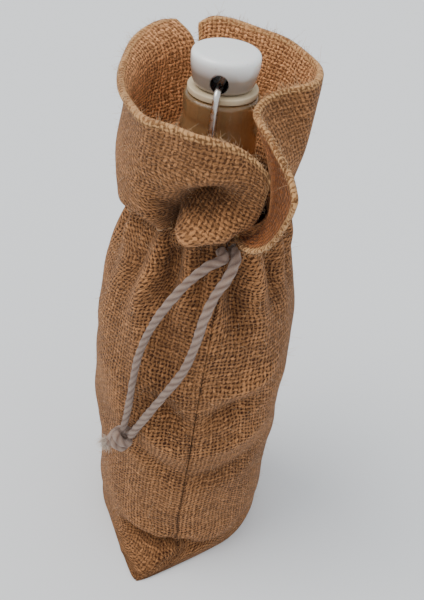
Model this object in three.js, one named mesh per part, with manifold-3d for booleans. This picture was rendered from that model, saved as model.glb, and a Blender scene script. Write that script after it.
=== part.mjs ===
// Jute drawstring wine bag, closed round a half-litre swing-top bottle that stands in it.
// Millimetres, +Z up. The origin is the middle of the flat base. -Y is the side where the
// front side seam, the cord's exit and the tied cord ends are.
import * as THREE from 'three';
import { mergeVertices } from 'three/addons/utils/BufferGeometryUtils.js';
import Module from 'manifold-3d';

const wasm = await Module();
wasm.setup();

// ---------- driving dimensions ----------
const CLOTH = 1.4;                  // one layer of jute
const HEM = 2.4;                    // the folded, two-layer frill above the casing
const GAP = 0.35;                   // clearance between pieces that touch
const SEAM_GAP = 0.6;               // clearance between the two panels along a seam
const CASING_Z = 204;               // top of the panels, where the frills start
const SLOT_Z = 193;                 // above this the panels part at the front for the cord
const SLOT_ANGLE = 9;               // that opening reaches this many degrees each side
const CORD_D = 4.5;                 // drawstring
const CORD_Z = 199;                 // height of the drawstring in its casing

const HALF_COLUMNS = 20;            // columns across one panel
const FRILL_COLUMNS = 30;
const FRILL_ROWS = 6;

// Bag wall, one line per height: height, radius at left, right, front and back,
// and the angle of the front seam from -Y towards +X, in degrees.
const WALL = [
  [0, 43.5, 42.5, 44.5, 43, -14.5],
  [6, 45.2, 43.8, 46, 44.5, -8],
  [16, 45.8, 44.4, 47.4, 46, 1],
  [38, 46.2, 45, 49.4, 47, 2.6],
  [70, 47.5, 45.8, 49.7, 47.5, 4.6],
  [105, 49, 47, 49.6, 47.8, 6],
  [138, 48.6, 47, 49, 47, 7.4],
  [158, 45.4, 43.8, 46.6, 45, 8.8],
  [174, 41, 40.6, 43, 41.4, 10.4],
  [186, 37, 37.2, 39.8, 38, 13],
  [195, 35, 36, 38.2, 36, 15],
  [CASING_Z, 35.2, 36.6, 38, 35.6, 16],
];
const BACK_SEAM_LEAD = 180.5;       // the back seam's angle past the front one, degrees

// The bottom corners of the flat bag stand out on the floor as two ears.
const EAR_HEIGHT = 17;
const EAR_FRONT = 68;               // tip's distance from the axis
const EAR_BACK = 62;
const EAR_INSET = 7;                // the bottom seam stops this far inside each tip
const SEAM_BOW = 4;                 // and bows this far to the left on its way

// Bottle and its wire closure
const BOTTLE_BASE_Z = 5;
const BOTTLE_R = 35.5;
const LIP_Z = 251.5;
const LIP_R = 15.6;
const BORE_R = 9.4;
const GASKET_R = 14.4;
const GASKET_T = 2.6;
const HEAD_TOP_Z = 269;
const HEAD_R = 14;
const HEAD_FOOT_R = 12.3;
const PLUG_R = 7.4;
const PLUG_DEPTH = 3;
const HOLE_R = 3.3;                 // cross hole in the stopper head
const HOLE_Z = 259.3;
const BAIL_D = 2.8;
const LEVER_D = 2.4;
const PIVOT_Z = 228;                // lever pivots in the neck
const CRANK = 9;                    // pivot down to the eye that holds the bail
const EYE_Z = PIVOT_Z - CRANK;
const LEVER_S = 18.6;               // lever arms, each side of the axis
const BAIL_S = 22.2;                // bail legs beside the lever arms
const PIN_Z = HOLE_Z - HOLE_R + BAIL_D / 2 + 0.12;   // the bail lies on the hole's floor
const CLOSURE_TURN = 6;             // the closure is turned on the neck, degrees

// ---------- materials ----------
const material = (color, roughness, metalness = 0, extra = {}) =>
  new THREE.MeshStandardMaterial({ color, roughness, metalness, ...extra });
const jute = material(0xb98a58, 0.95);
const juteSeam = material(0xa8794a, 0.95);
const juteThread = material(0xd2ab77, 0.9);
const cotton = material(0xa89890, 0.9);
const glass = material(0x8a7448, 0.08, 0, { transparent: true, opacity: 0.45 });
const porcelain = material(0xe6e5e3, 0.25);
const rubber = material(0xe3dcc2, 0.6);
const steel = material(0xc4c4c2, 0.25, 1);

const bag = new THREE.Group();
function addMesh(name, geometry, mat, parent = bag) {
  const mesh = new THREE.Mesh(geometry, mat);
  mesh.name = name;
  parent.add(mesh);
}

// ---------- closed solids from grids, tubes and lathes ----------
const V = (x, y, z) => new THREE.Vector3(x, y, z);
const rad = THREE.MathUtils.degToRad;

function signedVolume(positions, index) {
  let sum = 0;
  const p = (i) => V(positions[3 * i], positions[3 * i + 1], positions[3 * i + 2]);
  for (let t = 0; t < index.length; t += 3) {
    sum += p(index[t]).dot(p(index[t + 1]).cross(p(index[t + 2])));
  }
  return sum;
}

// Two grids of the same size, outer and inner, joined round their edges.
function shellGeometry(outer, inner) {
  const rows = outer.length;
  const cols = outer[0].length;
  const positions = [];
  for (const grid of [outer, inner]) {
    for (const row of grid) row.forEach((p) => positions.push(p.x, p.y, p.z));
  }
  const id = (layer, j, i) => (layer * rows + j) * cols + i;
  const index = [];
  const quad = (a, b, c, d) => index.push(a, b, c, a, c, d);
  for (let j = 0; j + 1 < rows; j++) {
    for (let i = 0; i + 1 < cols; i++) {
      quad(id(0, j, i), id(0, j, i + 1), id(0, j + 1, i + 1), id(0, j + 1, i));
      quad(id(1, j, i), id(1, j + 1, i), id(1, j + 1, i + 1), id(1, j, i + 1));
    }
  }
  for (let i = 0; i + 1 < cols; i++) {
    quad(id(0, 0, i + 1), id(0, 0, i), id(1, 0, i), id(1, 0, i + 1));
    quad(id(0, rows - 1, i), id(0, rows - 1, i + 1), id(1, rows - 1, i + 1), id(1, rows - 1, i));
  }
  for (let j = 0; j + 1 < rows; j++) {
    quad(id(0, j, 0), id(0, j + 1, 0), id(1, j + 1, 0), id(1, j, 0));
    quad(id(0, j + 1, cols - 1), id(0, j, cols - 1), id(1, j, cols - 1), id(1, j + 1, cols - 1));
  }
  if (signedVolume(positions, index) < 0) {
    for (let t = 0; t < index.length; t += 3) [index[t], index[t + 1]] = [index[t + 1], index[t]];
  }
  const geometry = new THREE.BufferGeometry();
  geometry.setAttribute('position', new THREE.Float32BufferAttribute(positions, 3));
  geometry.setIndex(index);
  return geometry;
}

// Normals of an open grid, one-sided at its edges.
function gridNormals(grid) {
  const at = (j, i) => grid[Math.min(Math.max(j, 0), grid.length - 1)][
    Math.min(Math.max(i, 0), grid[0].length - 1)];
  return grid.map((row, j) => row.map((_, i) =>
    at(j, i + 1).clone().sub(at(j, i - 1)).cross(at(j + 1, i).clone().sub(at(j - 1, i)))
      .normalize()));
}

function tube(points, diameter, steps, sides = 8) {
  const section = new THREE.Shape();
  for (let k = 0; k < sides; k++) {
    const a = (k / sides) * 2 * Math.PI;
    const [x, y] = [(diameter / 2) * Math.cos(a), (diameter / 2) * Math.sin(a)];
    if (k === 0) section.moveTo(x, y);
    else section.lineTo(x, y);
  }
  const path = new THREE.CatmullRomCurve3(points, false, 'centripetal');
  return new THREE.ExtrudeGeometry(section, { steps, bevelEnabled: false, extrudePath: path });
}

// A lathe about +Z from [radius, height] pairs.
function lathe(profile, segments) {
  const geometry = new THREE.LatheGeometry(profile.map(([r, z]) => new THREE.Vector2(r, z)), segments);
  geometry.rotateX(Math.PI / 2);
  return geometry;
}

function toSolid(geometry) {
  const bare = geometry.clone();
  bare.deleteAttribute('normal');
  bare.deleteAttribute('uv');
  const merged = mergeVertices(bare, 1e-4);
  return new wasm.Manifold(new wasm.Mesh({
    numProp: 3,
    vertProperties: new Float32Array(merged.attributes.position.array),
    triVerts: new Uint32Array(merged.index.array),
  }));
}

function toGeometry(solid) {
  const mesh = solid.getMesh();
  const geometry = new THREE.BufferGeometry();
  geometry.setAttribute('position', new THREE.Float32BufferAttribute(mesh.vertProperties, 3));
  geometry.setIndex(new THREE.Uint32BufferAttribute(mesh.triVerts, 1));
  return geometry;
}

// ---------- bag wall ----------
// Smooth value of one column of WALL at a height.
function wallValue(z, column) {
  let k = 0;
  while (k + 2 < WALL.length && z > WALL[k + 1][0]) k++;
  const row = (n) => WALL[Math.min(Math.max(n, 0), WALL.length - 1)];
  const [a, b] = [row(k), row(k + 1)];
  const slope = (n) => (row(n + 1)[column] - row(n - 1)[column]) / (row(n + 1)[0] - row(n - 1)[0]);
  const h = b[0] - a[0];
  const t = (z - a[0]) / h;
  return (2 * t ** 3 - 3 * t ** 2 + 1) * a[column] + (t ** 3 - 2 * t ** 2 + t) * h * slope(k)
    + (3 * t ** 2 - 2 * t ** 3) * b[column] + (t ** 3 - t ** 2) * h * slope(k + 1);
}

function earRadius(radius, angleFromTip, tipRadius, z) {
  const lift = Math.max(0, 1 - z / EAR_HEIGHT) ** 0.85;
  const tip = radius + (tipRadius - radius) * lift;
  const spread = Math.acos(Math.min(1, radius / tip));
  return Math.abs(angleFromTip) < spread ? radius / Math.cos(spread - Math.abs(angleFromTip)) : radius;
}

// A point of the outer wall at a height and an angle past the front seam, in degrees.
// inset moves it inwards.
function wallPoint(z, pastSeam, inset = 0) {
  const a = rad(wallValue(z, 5) + pastSeam);
  const rx = wallValue(z, Math.sin(a) < 0 ? 1 : 2);
  const ry = wallValue(z, Math.cos(a) > 0 ? 3 : 4);
  let radius = 1 / Math.hypot(Math.sin(a) / rx, Math.cos(a) / ry);
  const fromFront = rad(((pastSeam + 180) % 360 + 360) % 360 - 180);
  const fromBack = rad((((pastSeam - BACK_SEAM_LEAD) + 180) % 360 + 360) % 360 - 180);
  radius = Math.max(earRadius(radius, fromFront, EAR_FRONT, z), earRadius(radius, fromBack, EAR_BACK, z));
  return V((radius - inset) * Math.sin(a), -(radius - inset) * Math.cos(a), z);
}

// Angles past the front seam of one panel's columns. The columns crowd towards the ears.
function columnAngles(side) {
  const sweep = side === 'right' ? BACK_SEAM_LEAD : BACK_SEAM_LEAD - 360;
  const angles = [];
  for (let i = 0; i <= HALF_COLUMNS; i++) {
    const t = i / HALF_COLUMNS;
    angles.push(sweep * (t - 0.07 * Math.sin(2 * Math.PI * t)));
  }
  return angles;
}

// Rows from the bottom seam out across the floor, round the edge and up the wall.
const FLOOR_ROWS = [0, 0.35, 0.7, 1];
const WALL_HEIGHTS = [3, 7, 11, 17, 27, 40, 64, 90, 116, 140, 156, 168, 178, 187, SLOT_Z, 199, CASING_Z];

function panelGrid(side) {
  const angles = columnAngles(side);
  const front = wallPoint(0, 0);
  const back = wallPoint(0, BACK_SEAM_LEAD);
  const along = back.clone().sub(front).normalize();
  const length = back.distanceTo(front);
  const grid = FLOOR_ROWS.map((f) => angles.map((angle) => {
    const edge = wallPoint(0, angle);
    const s = edge.clone().sub(front).dot(along) / length;
    const seam = front.clone().addScaledVector(along, EAR_INSET + (length - 2 * EAR_INSET) * s);
    seam.x -= SEAM_BOW * Math.sin(Math.PI * s);
    return seam.lerp(edge, f).setZ(0);
  }));
  for (const z of WALL_HEIGHTS) {
    const opening = z < SLOT_Z ? 0 : Math.sign(angles[1]) * SLOT_ANGLE;
    grid.push(angles.map((angle) => wallPoint(z, opening + angle * (1 - opening / angles.at(-1)))));
  }
  return grid;
}

function panelGeometry(side) {
  const outer = panelGrid(side);
  const normals = gridNormals(outer);
  const last = HALF_COLUMNS;
  const outward = side === 'right' ? 1 : -1;
  // Along the seams the inner face follows the radius, so that the panels don't cross.
  for (let j = 0; j < outer.length; j++) {
    for (const i of [0, last]) {
      const p = outer[j][i];
      normals[j][i] = V(p.x, p.y, j < FLOOR_ROWS.length ? -25 : 0).normalize().multiplyScalar(outward);
    }
  }
  normals[0].forEach((n) => n.set(0, 0, -outward));
  const inner = outer.map((row, j) => row.map((p, i) =>
    p.clone().addScaledVector(normals[j][i], -CLOTH * outward)));
  for (const grid of [outer, inner]) {
    grid.forEach((row, j) => {
      const part = (p, q) => p.addScaledVector(q.clone().sub(p).setZ(0).normalize(), SEAM_GAP / 2);
      if (j > 0) {
        part(row[0], row[1]);
        part(row[last], row[last - 1]);
      }
    });
    const shift = grid[1].map((p, i) => p.clone().sub(grid[0][i]).setZ(0).normalize());
    grid[0].forEach((p, i) => p.addScaledVector(shift[Math.min(Math.max(i, 3), last - 3)], SEAM_GAP / 2));
  }
  return shellGeometry(outer, inner);
}

addMesh('left_panel', panelGeometry('left'), jute);
addMesh('right_panel', panelGeometry('right'), jute);

// A strip of seam allowance inside the wall, over a stretch of heights.
function sideSeam(pastSeam) {
  const heights = WALL_HEIGHTS.filter((z) => z > 2 * EAR_HEIGHT && z < SLOT_Z);
  const halfWidth = 4.5;
  const outside = CLOTH + 2 * GAP;
  const strip = (inset) => heights.map((z) => [-1, 0, 1].map((k) => {
    const turn = (k * halfWidth / wallPoint(z, pastSeam).setZ(0).length()) * (180 / Math.PI);
    return wallPoint(z, pastSeam + turn, inset);
  }));
  return shellGeometry(strip(outside), strip(outside + 1.5 * CLOTH));
}
addMesh('front_seam', sideSeam(0), juteSeam);
addMesh('back_seam', sideSeam(BACK_SEAM_LEAD), juteSeam);

// The bottom seam's allowance lies on the cloth floor, under the bottle.
function bottomSeam() {
  const front = wallPoint(0, 0);
  const back = wallPoint(0, BACK_SEAM_LEAD);
  const length = back.distanceTo(front) - 2 * 22;
  const geometry = new THREE.BoxGeometry(9, length, 2 * CLOTH - GAP);
  geometry.rotateZ(Math.atan2(back.y - front.y, back.x - front.x) - Math.PI / 2);
  const middle = front.add(back).multiplyScalar(0.5);
  middle.x -= SEAM_BOW / 2;
  return geometry.translate(middle.x, middle.y, CLOTH + GAP + (2 * CLOTH - GAP) / 2);
}
addMesh('bottom_seam', bottomSeam(), juteSeam);

// ---------- frill: the two-layer hem above the casing, open at both side seams ----------
// Each rim runs from the back seam's corner to the front one, and each slit edge runs from
// the rim down to the casing. The right frill folds in to the neck and cups out again.
// Between foot and rim a frill bulges outwards.
const LEFT_FRILL = {
  rim: [[-25, 45.5, 261], [-30, 40.5, 262], [-35.5, 33, 261], [-39.5, 24.5, 259], [-41, 13, 257],
    [-41, -1, 255], [-38.5, -15, 254.3], [-32, -31, 255], [-26, -40, 255], [-16, -44, 255], [-6.5, -47, 254],
    [1.5, -46, 252.5], [10, -45, 249.5], [17, -45, 245], [21, -44, 239]],
  frontSlit: [[21, -43, 231], [18.6, -39.3, 219], [14.6, -38.6, 212], [8.6, -38.8, 207]],
  backSlit: [[-17.5, 45, 255], [-14, 42, 235]],
  bulge: 9,
};
const RIGHT_FRILL = {
  rim: [[-13.5, 46, 261], [-9, 46, 264], [0, 44.5, 264.5], [12, 41.5, 263], [24, 36, 262],
    [32, 27.5, 260.5], [38, 18, 259], [38.5, 11, 258], [34.5, 2, 257.5], [25, -2.5, 256],
    [18.3, -8, 254.5], [14.8, -14, 253], [14.2, -18, 252], [16, -23, 251], [20, -30, 249],
    [24, -38, 246.3], [28.5, -45.5, 242.5], [31.5, -51, 235]],
  frontSlit: [[28.8, -51, 222], [25, -51, 215], [20, -48.8, 210.5], [15.6, -44, 207.8]],
  backSlit: [[-13, 45, 255], [-11.5, 42, 235]],
  bulge: 1,
};

const toVectors = (points) => points.map(([x, y, z]) => V(x, y, z));
const smooth = (points) => new THREE.CatmullRomCurve3(points, false, 'centripetal');

// Middle line of the frill's foot, from the back slit round to the front one.
function frillFoot(side, t) {
  const clear = { front: 7, back: 1.5 };     // degrees from the seams
  const sign = side === 'right' ? 1 : -1;
  const sweep = side === 'right' ? BACK_SEAM_LEAD : 360 - BACK_SEAM_LEAD;
  const pastSeam = sign * (sweep - clear.back - (sweep - clear.back - clear.front) * t);
  return wallPoint(CASING_Z, pastSeam, HEM / 2).setZ(CASING_Z + GAP + 0.3);
}

function frillGeometry(side, shape) {
  const rimPoints = toVectors(shape.rim);
  const [backFoot, frontFoot] = [frillFoot(side, 0), frillFoot(side, 1)];
  const rim = smooth(rimPoints);
  const back = smooth([backFoot, ...toVectors(shape.backSlit).reverse(), rimPoints[0]]);
  const front = smooth([frontFoot, ...toVectors(shape.frontSlit).reverse(), rimPoints.at(-1)]);
  const grid = [];
  for (let j = 0; j <= FRILL_ROWS; j++) {
    const v = j / FRILL_ROWS;
    const row = [];
    for (let i = 0; i <= FRILL_COLUMNS; i++) {
      const u = i / FRILL_COLUMNS;
      const corners = backFoot.clone().multiplyScalar((1 - u) * (1 - v))
        .addScaledVector(frontFoot, u * (1 - v)).addScaledVector(rimPoints[0], (1 - u) * v)
        .addScaledVector(rimPoints.at(-1), u * v);
      const p = frillFoot(side, u).multiplyScalar(1 - v).addScaledVector(rim.getPointAt(u), v)
        .addScaledVector(back.getPointAt(v), 1 - u).addScaledVector(front.getPointAt(v), u)
        .sub(corners);
      const bulge = shape.bulge * Math.sin(Math.PI * v ** 0.65) * Math.sin(Math.PI * u) ** 0.6;
      row.push(p.addScaledVector(V(p.x, p.y, 0).normalize(), bulge));
    }
    grid.push(row);
  }
  const normals = gridNormals(grid);
  // The foot stands on the casing, so its normal is level.
  normals[0].forEach((n) => n.setZ(0).normalize());
  const layer = (k) => grid.map((row, j) => row.map((p, i) => p.clone().addScaledVector(normals[j][i], k)));
  return shellGeometry(layer(HEM / 2), layer(-HEM / 2));
}
addMesh('left_frill', frillGeometry('left', LEFT_FRILL), jute);
addMesh('right_frill', frillGeometry('right', RIGHT_FRILL), jute);

// ---------- casing stitching: a thread round the outside of each panel ----------
const THREAD_D = 0.9;
function casingStitching(side) {
  const [first, last] = side === 'right' ? [9, BACK_SEAM_LEAD - 3] : [-9, BACK_SEAM_LEAD - 357];
  const points = [];
  for (let k = 0; k <= 16; k++) {
    points.push(wallPoint(CASING_Z - 1.5, first + (last - first) * k / 16, -(THREAD_D / 2 + 1.5 * GAP)));
  }
  return tube(points, THREAD_D, 26, 6);
}
addMesh('left_casing_stitching', casingStitching('left'), juteThread);
addMesh('right_casing_stitching', casingStitching('right'), juteThread);

// ---------- drawstring ----------
// The loop lies in the casing. Both ends turn out through the front opening side by side,
// hang down the front and are tied together in one knot.
const exitAngle = rad(wallValue(CORD_Z, 5));
const outwards = V(Math.sin(exitAngle), -Math.cos(exitAngle), 0);
const sideways = V(Math.cos(exitAngle), Math.sin(exitAngle), 0);
const EXIT_HALF = CORD_D / 2 + GAP;
const EXIT_R = 39.2;
const SWING_GAP = 1;                // room for the free ends to swing at the exit
const exitPoint = (side, r) => outwards.clone().multiplyScalar(r).addScaledVector(sideways, side * EXIT_HALF)
  .setZ(CORD_Z);

function drawstringLoop() {
  const inset = CLOTH + 3 * GAP + CORD_D / 2;
  const turn = 10;                           // the cord turns outwards this many degrees
  const bend = 20;                           // and this many degrees from the exit
  const points = [exitPoint(1, EXIT_R), exitPoint(1, EXIT_R - 4.5), wallPoint(CORD_Z, turn, inset + 1.6)];
  for (let k = 0; k <= 24; k++) {
    points.push(wallPoint(CORD_Z, bend + (360 - 2 * bend) * k / 24, inset));
  }
  points.push(wallPoint(CORD_Z, -turn, inset + 1.6), exitPoint(-1, EXIT_R - 4.5), exitPoint(-1, EXIT_R));
  return tube(points, CORD_D, 48);
}
addMesh('drawstring_loop', drawstringLoop(), cotton);

const KNOT = V(-29, -45.5, 89);
const LEFT_TAIL = [[3.5, -44.5, 197.5], [-4, -48, 191], [-10.9, -50.2, 181], [-17.7, -49.5, 166],
  [-22.5, -48.8, 149], [-24.6, -48.5, 133], [-26.2, -47.4, 115], [-28.6, -46, 95.6]];
const RIGHT_TAIL = [[11, -47.5, 194], [7.5, -50, 188], [4, -52.2, 177], [1.2, -53, 161],
  [-2.5, -52.9, 146], [-9.8, -52.6, 130], [-16, -51, 116], [-21.5, -49.2, 103], [-24.6, -48, 95.5]];
function tail(side, points) {
  const start = exitPoint(side, EXIT_R + SWING_GAP);
  return tube([start, exitPoint(side, EXIT_R + 3), ...toVectors(points)], CORD_D, 22);
}
addMesh('drawstring_left_end', tail(-1, LEFT_TAIL), cotton);
addMesh('drawstring_right_end', tail(1, RIGHT_TAIL), cotton);

const knot = new THREE.SphereGeometry(1, 14, 10);
knot.scale(6.5, 5, 5.8).rotateY(rad(-35)).translate(KNOT.x - 2.2, KNOT.y + 0.4, KNOT.z);
addMesh('drawstring_knot', knot, cotton);

// ---------- bottle ----------
const closure = new THREE.Group();
closure.rotation.z = -rad(CLOSURE_TURN);
bag.add(closure);

function bottleGeometry() {
  const wall = 3;
  const outside = [[0, BOTTLE_BASE_Z + 4], [14, BOTTLE_BASE_Z + 3], [24, BOTTLE_BASE_Z],
    [31.5, BOTTLE_BASE_Z], [34.6, BOTTLE_BASE_Z + 2.5], [BOTTLE_R, BOTTLE_BASE_Z + 7],
    [BOTTLE_R, 146], [34.4, 156], [31.2, 166], [26.8, 176], [22.8, 187], [19.8, 198],
    [17.8, 209], [16.8, 220], [16.3, 230], [16, 238], [15.2, 242], [LIP_R, 244.5],
    [LIP_R, LIP_Z - 1], [LIP_R - 1, LIP_Z], [BORE_R + 0.6, LIP_Z], [BORE_R, LIP_Z - 0.8]];
  const inside = [[BORE_R, 236], [11.5, 224], [13.6, 208], [16.6, 197], [20, 186.5], [24, 175.5],
    [28.5, 164.5], [31.4, 154], [BOTTLE_R - wall, 144], [BOTTLE_R - wall, BOTTLE_BASE_Z + 12],
    [28, BOTTLE_BASE_Z + 7], [0, BOTTLE_BASE_Z + 9]];
  let solid = toSolid(lathe([...outside, ...inside], 24));
  for (const s of [-1, 1]) {
    const dimple = new THREE.CylinderGeometry(LEVER_D / 2 + 0.3, LEVER_D / 2 + 0.3, 4, 12);
    solid = solid.subtract(toSolid(dimple.translate(0, s * 16.2, PIVOT_Z)));
  }
  return toGeometry(solid);
}
addMesh('bottle', bottleGeometry(), glass, closure);

const GASKET_Z = LIP_Z + GAP;
const gasketTop = GASKET_Z + GASKET_T;
addMesh('gasket', lathe([[PLUG_R + GAP, GASKET_Z], [GASKET_R - 0.5, GASKET_Z], [GASKET_R, GASKET_Z + 0.5],
  [GASKET_R, gasketTop - 0.5], [GASKET_R - 0.5, gasketTop], [PLUG_R + GAP, gasketTop],
  [PLUG_R + GAP, GASKET_Z]], 32), rubber, closure);

function stopperHead() {
  const foot = gasketTop + GAP;
  const body = lathe([[0, LIP_Z - PLUG_DEPTH], [PLUG_R - 1, LIP_Z - PLUG_DEPTH],
    [PLUG_R, LIP_Z - PLUG_DEPTH + 1], [PLUG_R, foot], [HEAD_FOOT_R - 0.6, foot],
    [HEAD_FOOT_R, foot + 0.8], [HEAD_R - 0.6, HEAD_TOP_Z - 7.5], [HEAD_R, HEAD_TOP_Z - 4.5],
    [HEAD_R - 0.8, HEAD_TOP_Z - 2], [HEAD_R - 3, HEAD_TOP_Z - 0.5], [HEAD_R - 6, HEAD_TOP_Z],
    [0, HEAD_TOP_Z]], 36);
  const hole = new THREE.CylinderGeometry(HOLE_R, HOLE_R, 4 * HEAD_R, 20);
  return toGeometry(toSolid(body).subtract(toSolid(hole.translate(0, 0, HOLE_Z))));
}
addMesh('stopper_head', stopperHead(), porcelain, closure);

// One wire through the head, down both sides of the neck and hooked into the lever's eyes.
function bailWire() {
  const leg = (s) => [[0, s * (LEVER_S - 0.5), EYE_Z], [0, s * (BAIL_S - 1.6), EYE_Z], [0, s * BAIL_S, EYE_Z + 1.8],
    [0, s * BAIL_S, EYE_Z + 8], [0, s * (BAIL_S - 0.6), EYE_Z + 17], [0, s * (BAIL_S - 3), EYE_Z + 27],
    [0, s * (BAIL_S - 4.9), EYE_Z + 34], [0, s * (BAIL_S - 6.1), PIN_Z - 1.4], [0, s * (BAIL_S - 8.2), PIN_Z]];
  return tube(toVectors([...leg(-1), [0, 0, PIN_Z], ...leg(1).reverse()]), BAIL_D, 46);
}
addMesh('bail_wire', bailWire(), steel, closure);

// The lever's ends turn in to the neck's dimples, each arm carries an eye, and the arms meet
// in a handle that lies round the left of the neck.
function leverWire() {
  const arm = (s) => [[0, s * 15.2, PIVOT_Z], [0, s * (LEVER_S - 1), PIVOT_Z], [0, s * LEVER_S, PIVOT_Z - 1.2],
    [0, s * LEVER_S, PIVOT_Z - CRANK + 3.4]];
  const low = (s) => [[-1.2, s * LEVER_S, EYE_Z - 2.9], [-6, s * LEVER_S, EYE_Z - 8.5],
    [-13, s * (LEVER_S - 1), EYE_Z - 13], [-19.5, s * 13, EYE_Z - 15.5]];
  let solid = toSolid(tube(toVectors([...low(1), [-22.8, 0, EYE_Z - 16.3], ...low(-1).reverse()]), LEVER_D, 28));
  for (const s of [-1, 1]) {
    solid = solid.add(toSolid(tube(toVectors(arm(s)), LEVER_D, 8)));
    const eye = new THREE.TorusGeometry(BAIL_D / 2 + 0.4 + 1, 1, 6, 16);
    solid = solid.add(toSolid(eye.rotateX(Math.PI / 2).translate(0, s * LEVER_S, EYE_Z)));
  }
  return toGeometry(solid);
}
addMesh('lever_wire', leverWire(), steel, closure);

export default bag;
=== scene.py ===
"""A jute drawstring bag, gathered round the neck of the swing-top bottle that stands in it."""
import math
import random

import bmesh
import bpy
import numpy as np
from mathutils import Matrix, Vector


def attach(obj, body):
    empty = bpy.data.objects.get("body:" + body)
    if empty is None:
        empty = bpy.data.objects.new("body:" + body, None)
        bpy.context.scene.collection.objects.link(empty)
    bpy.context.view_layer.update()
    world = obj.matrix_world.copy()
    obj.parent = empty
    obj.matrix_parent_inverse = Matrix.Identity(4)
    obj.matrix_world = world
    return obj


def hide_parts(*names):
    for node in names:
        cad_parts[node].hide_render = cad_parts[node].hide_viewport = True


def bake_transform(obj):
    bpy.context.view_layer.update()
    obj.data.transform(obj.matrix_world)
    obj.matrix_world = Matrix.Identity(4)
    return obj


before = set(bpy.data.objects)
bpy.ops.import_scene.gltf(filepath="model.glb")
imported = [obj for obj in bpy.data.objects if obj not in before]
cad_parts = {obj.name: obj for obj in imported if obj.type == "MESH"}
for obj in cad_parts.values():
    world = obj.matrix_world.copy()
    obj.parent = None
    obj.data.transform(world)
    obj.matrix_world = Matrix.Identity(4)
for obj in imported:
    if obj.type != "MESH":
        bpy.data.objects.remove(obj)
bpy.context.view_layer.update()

MM = 0.001             # every length below is in millimetres, and Blender's are in metres
scene = bpy.context.scene


def added(name, data):
    thing = bpy.data.objects.new(name, data)
    scene.collection.objects.link(thing)
    return thing


# ---------- camera ----------
TARGET = (6.0, 0.0, 145.0)
DISTANCE = 387.2
ELEVATION = math.radians(38.39)
ROLL = math.radians(7.0)
LENS = 48.0
SENSOR = 36.0


def make_camera():
    back = Vector((0, -math.cos(ELEVATION), math.sin(ELEVATION)))
    level = Vector((1, 0, 0))
    upright = back.cross(level)
    right = math.cos(ROLL) * level + math.sin(ROLL) * upright
    up = -math.sin(ROLL) * level + math.cos(ROLL) * upright
    data = bpy.data.cameras.new("camera")
    data.lens, data.sensor_width, data.clip_start = LENS, SENSOR, 0.01
    scene.camera = added("camera", data)
    place = (Vector(TARGET) + DISTANCE * back) * MM
    scene.camera.matrix_world = Matrix.Translation(place) @ Matrix((right, up, back)).transposed().to_4x4()


make_camera()


# ---------- lines ----------
def unit(vectors):
    return vectors / np.maximum(np.linalg.norm(vectors, axis=-1, keepdims=True), 1e-9)


def distances(path):
    """How far along a path each of its points is."""
    return np.concatenate([[0], np.cumsum(np.linalg.norm(np.diff(path, axis=0), axis=1))])


def between(at, places, points):
    """Points of a line, interpolated between those that stand at the given places along it."""
    return np.stack([np.interp(at, places, points[:, k]) for k in range(3)], axis=1)


def evenly(line, count):
    run = distances(line)
    return between(np.linspace(0, run[-1], count), run, line)


def weighed(s, low, high, a, b):
    """From a, where s is low, to b, where s is high."""
    return (high - s) / (high - low) * a + (s - low) / (high - low) * b


def catmull(points, count):
    """Points spaced evenly along a centripetal Catmull-Rom curve through the given points."""
    points = np.asarray(points, float)
    p = np.vstack([2 * points[0] - points[1], points, 2 * points[-1] - points[-2]])
    fine = []
    for k in range(1, len(p) - 2):
        q = list(p[k - 1:k + 3])
        t = np.cumsum([0] + [max(np.linalg.norm(b - a), 1e-6) ** 0.5 for a, b in zip(q, q[1:])])
        s = np.linspace(t[1], t[2], 24, endpoint=False)[:, None]
        for span in (1, 2):
            q = [weighed(s, t[i], t[i + span], q[i], q[i + 1]) for i in range(len(q) - 1)]
        fine.extend(weighed(s, t[1], t[2], *q))
    return evenly(np.array(fine + [points[-1]]), count)


def run_length(path):
    return float(distances(path)[-1])


# ---------- meshes ----------
def new_mesh(name, points, faces, uv=None):
    """uv holds one (u, v) for each point."""
    mesh = bpy.data.meshes.new(name)
    mesh.from_pydata((np.asarray(points, float) * MM).tolist(), [], [tuple(f) for f in faces])
    if uv is not None:
        layer = mesh.uv_layers.new(name="UVMap")
        corner = np.zeros(len(mesh.loops), np.int64)
        mesh.loops.foreach_get("vertex_index", corner)
        layer.data.foreach_set("uv", np.asarray(uv, float)[corner].ravel())
    mesh.polygons.foreach_set("use_smooth", [True] * len(mesh.polygons))
    mesh.update()
    return added(name, mesh)


def grid_faces(rows, cols, offset=0, wrap=False, flip=False):
    faces = []
    for j in range(rows - 1):
        for i in range(cols if wrap else cols - 1):
            a = offset + j * cols + i
            b = offset + j * cols + (i + 1) % cols
            quad = (a, b, b + cols, a + cols)
            faces.append(quad[::-1] if flip else quad)
    return faces


def carried_frames(path):
    """Two cross directions at each point, carried along without twist."""
    tangent = unit(np.gradient(path, axis=0))
    side = np.cross(tangent[0], (0.3, 0.2, 1.0))
    sides = []
    for t in tangent:
        side = unit(side - t * (side @ t))
        sides.append(side)
    return np.array(sides), np.cross(tangent, sides)


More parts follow.
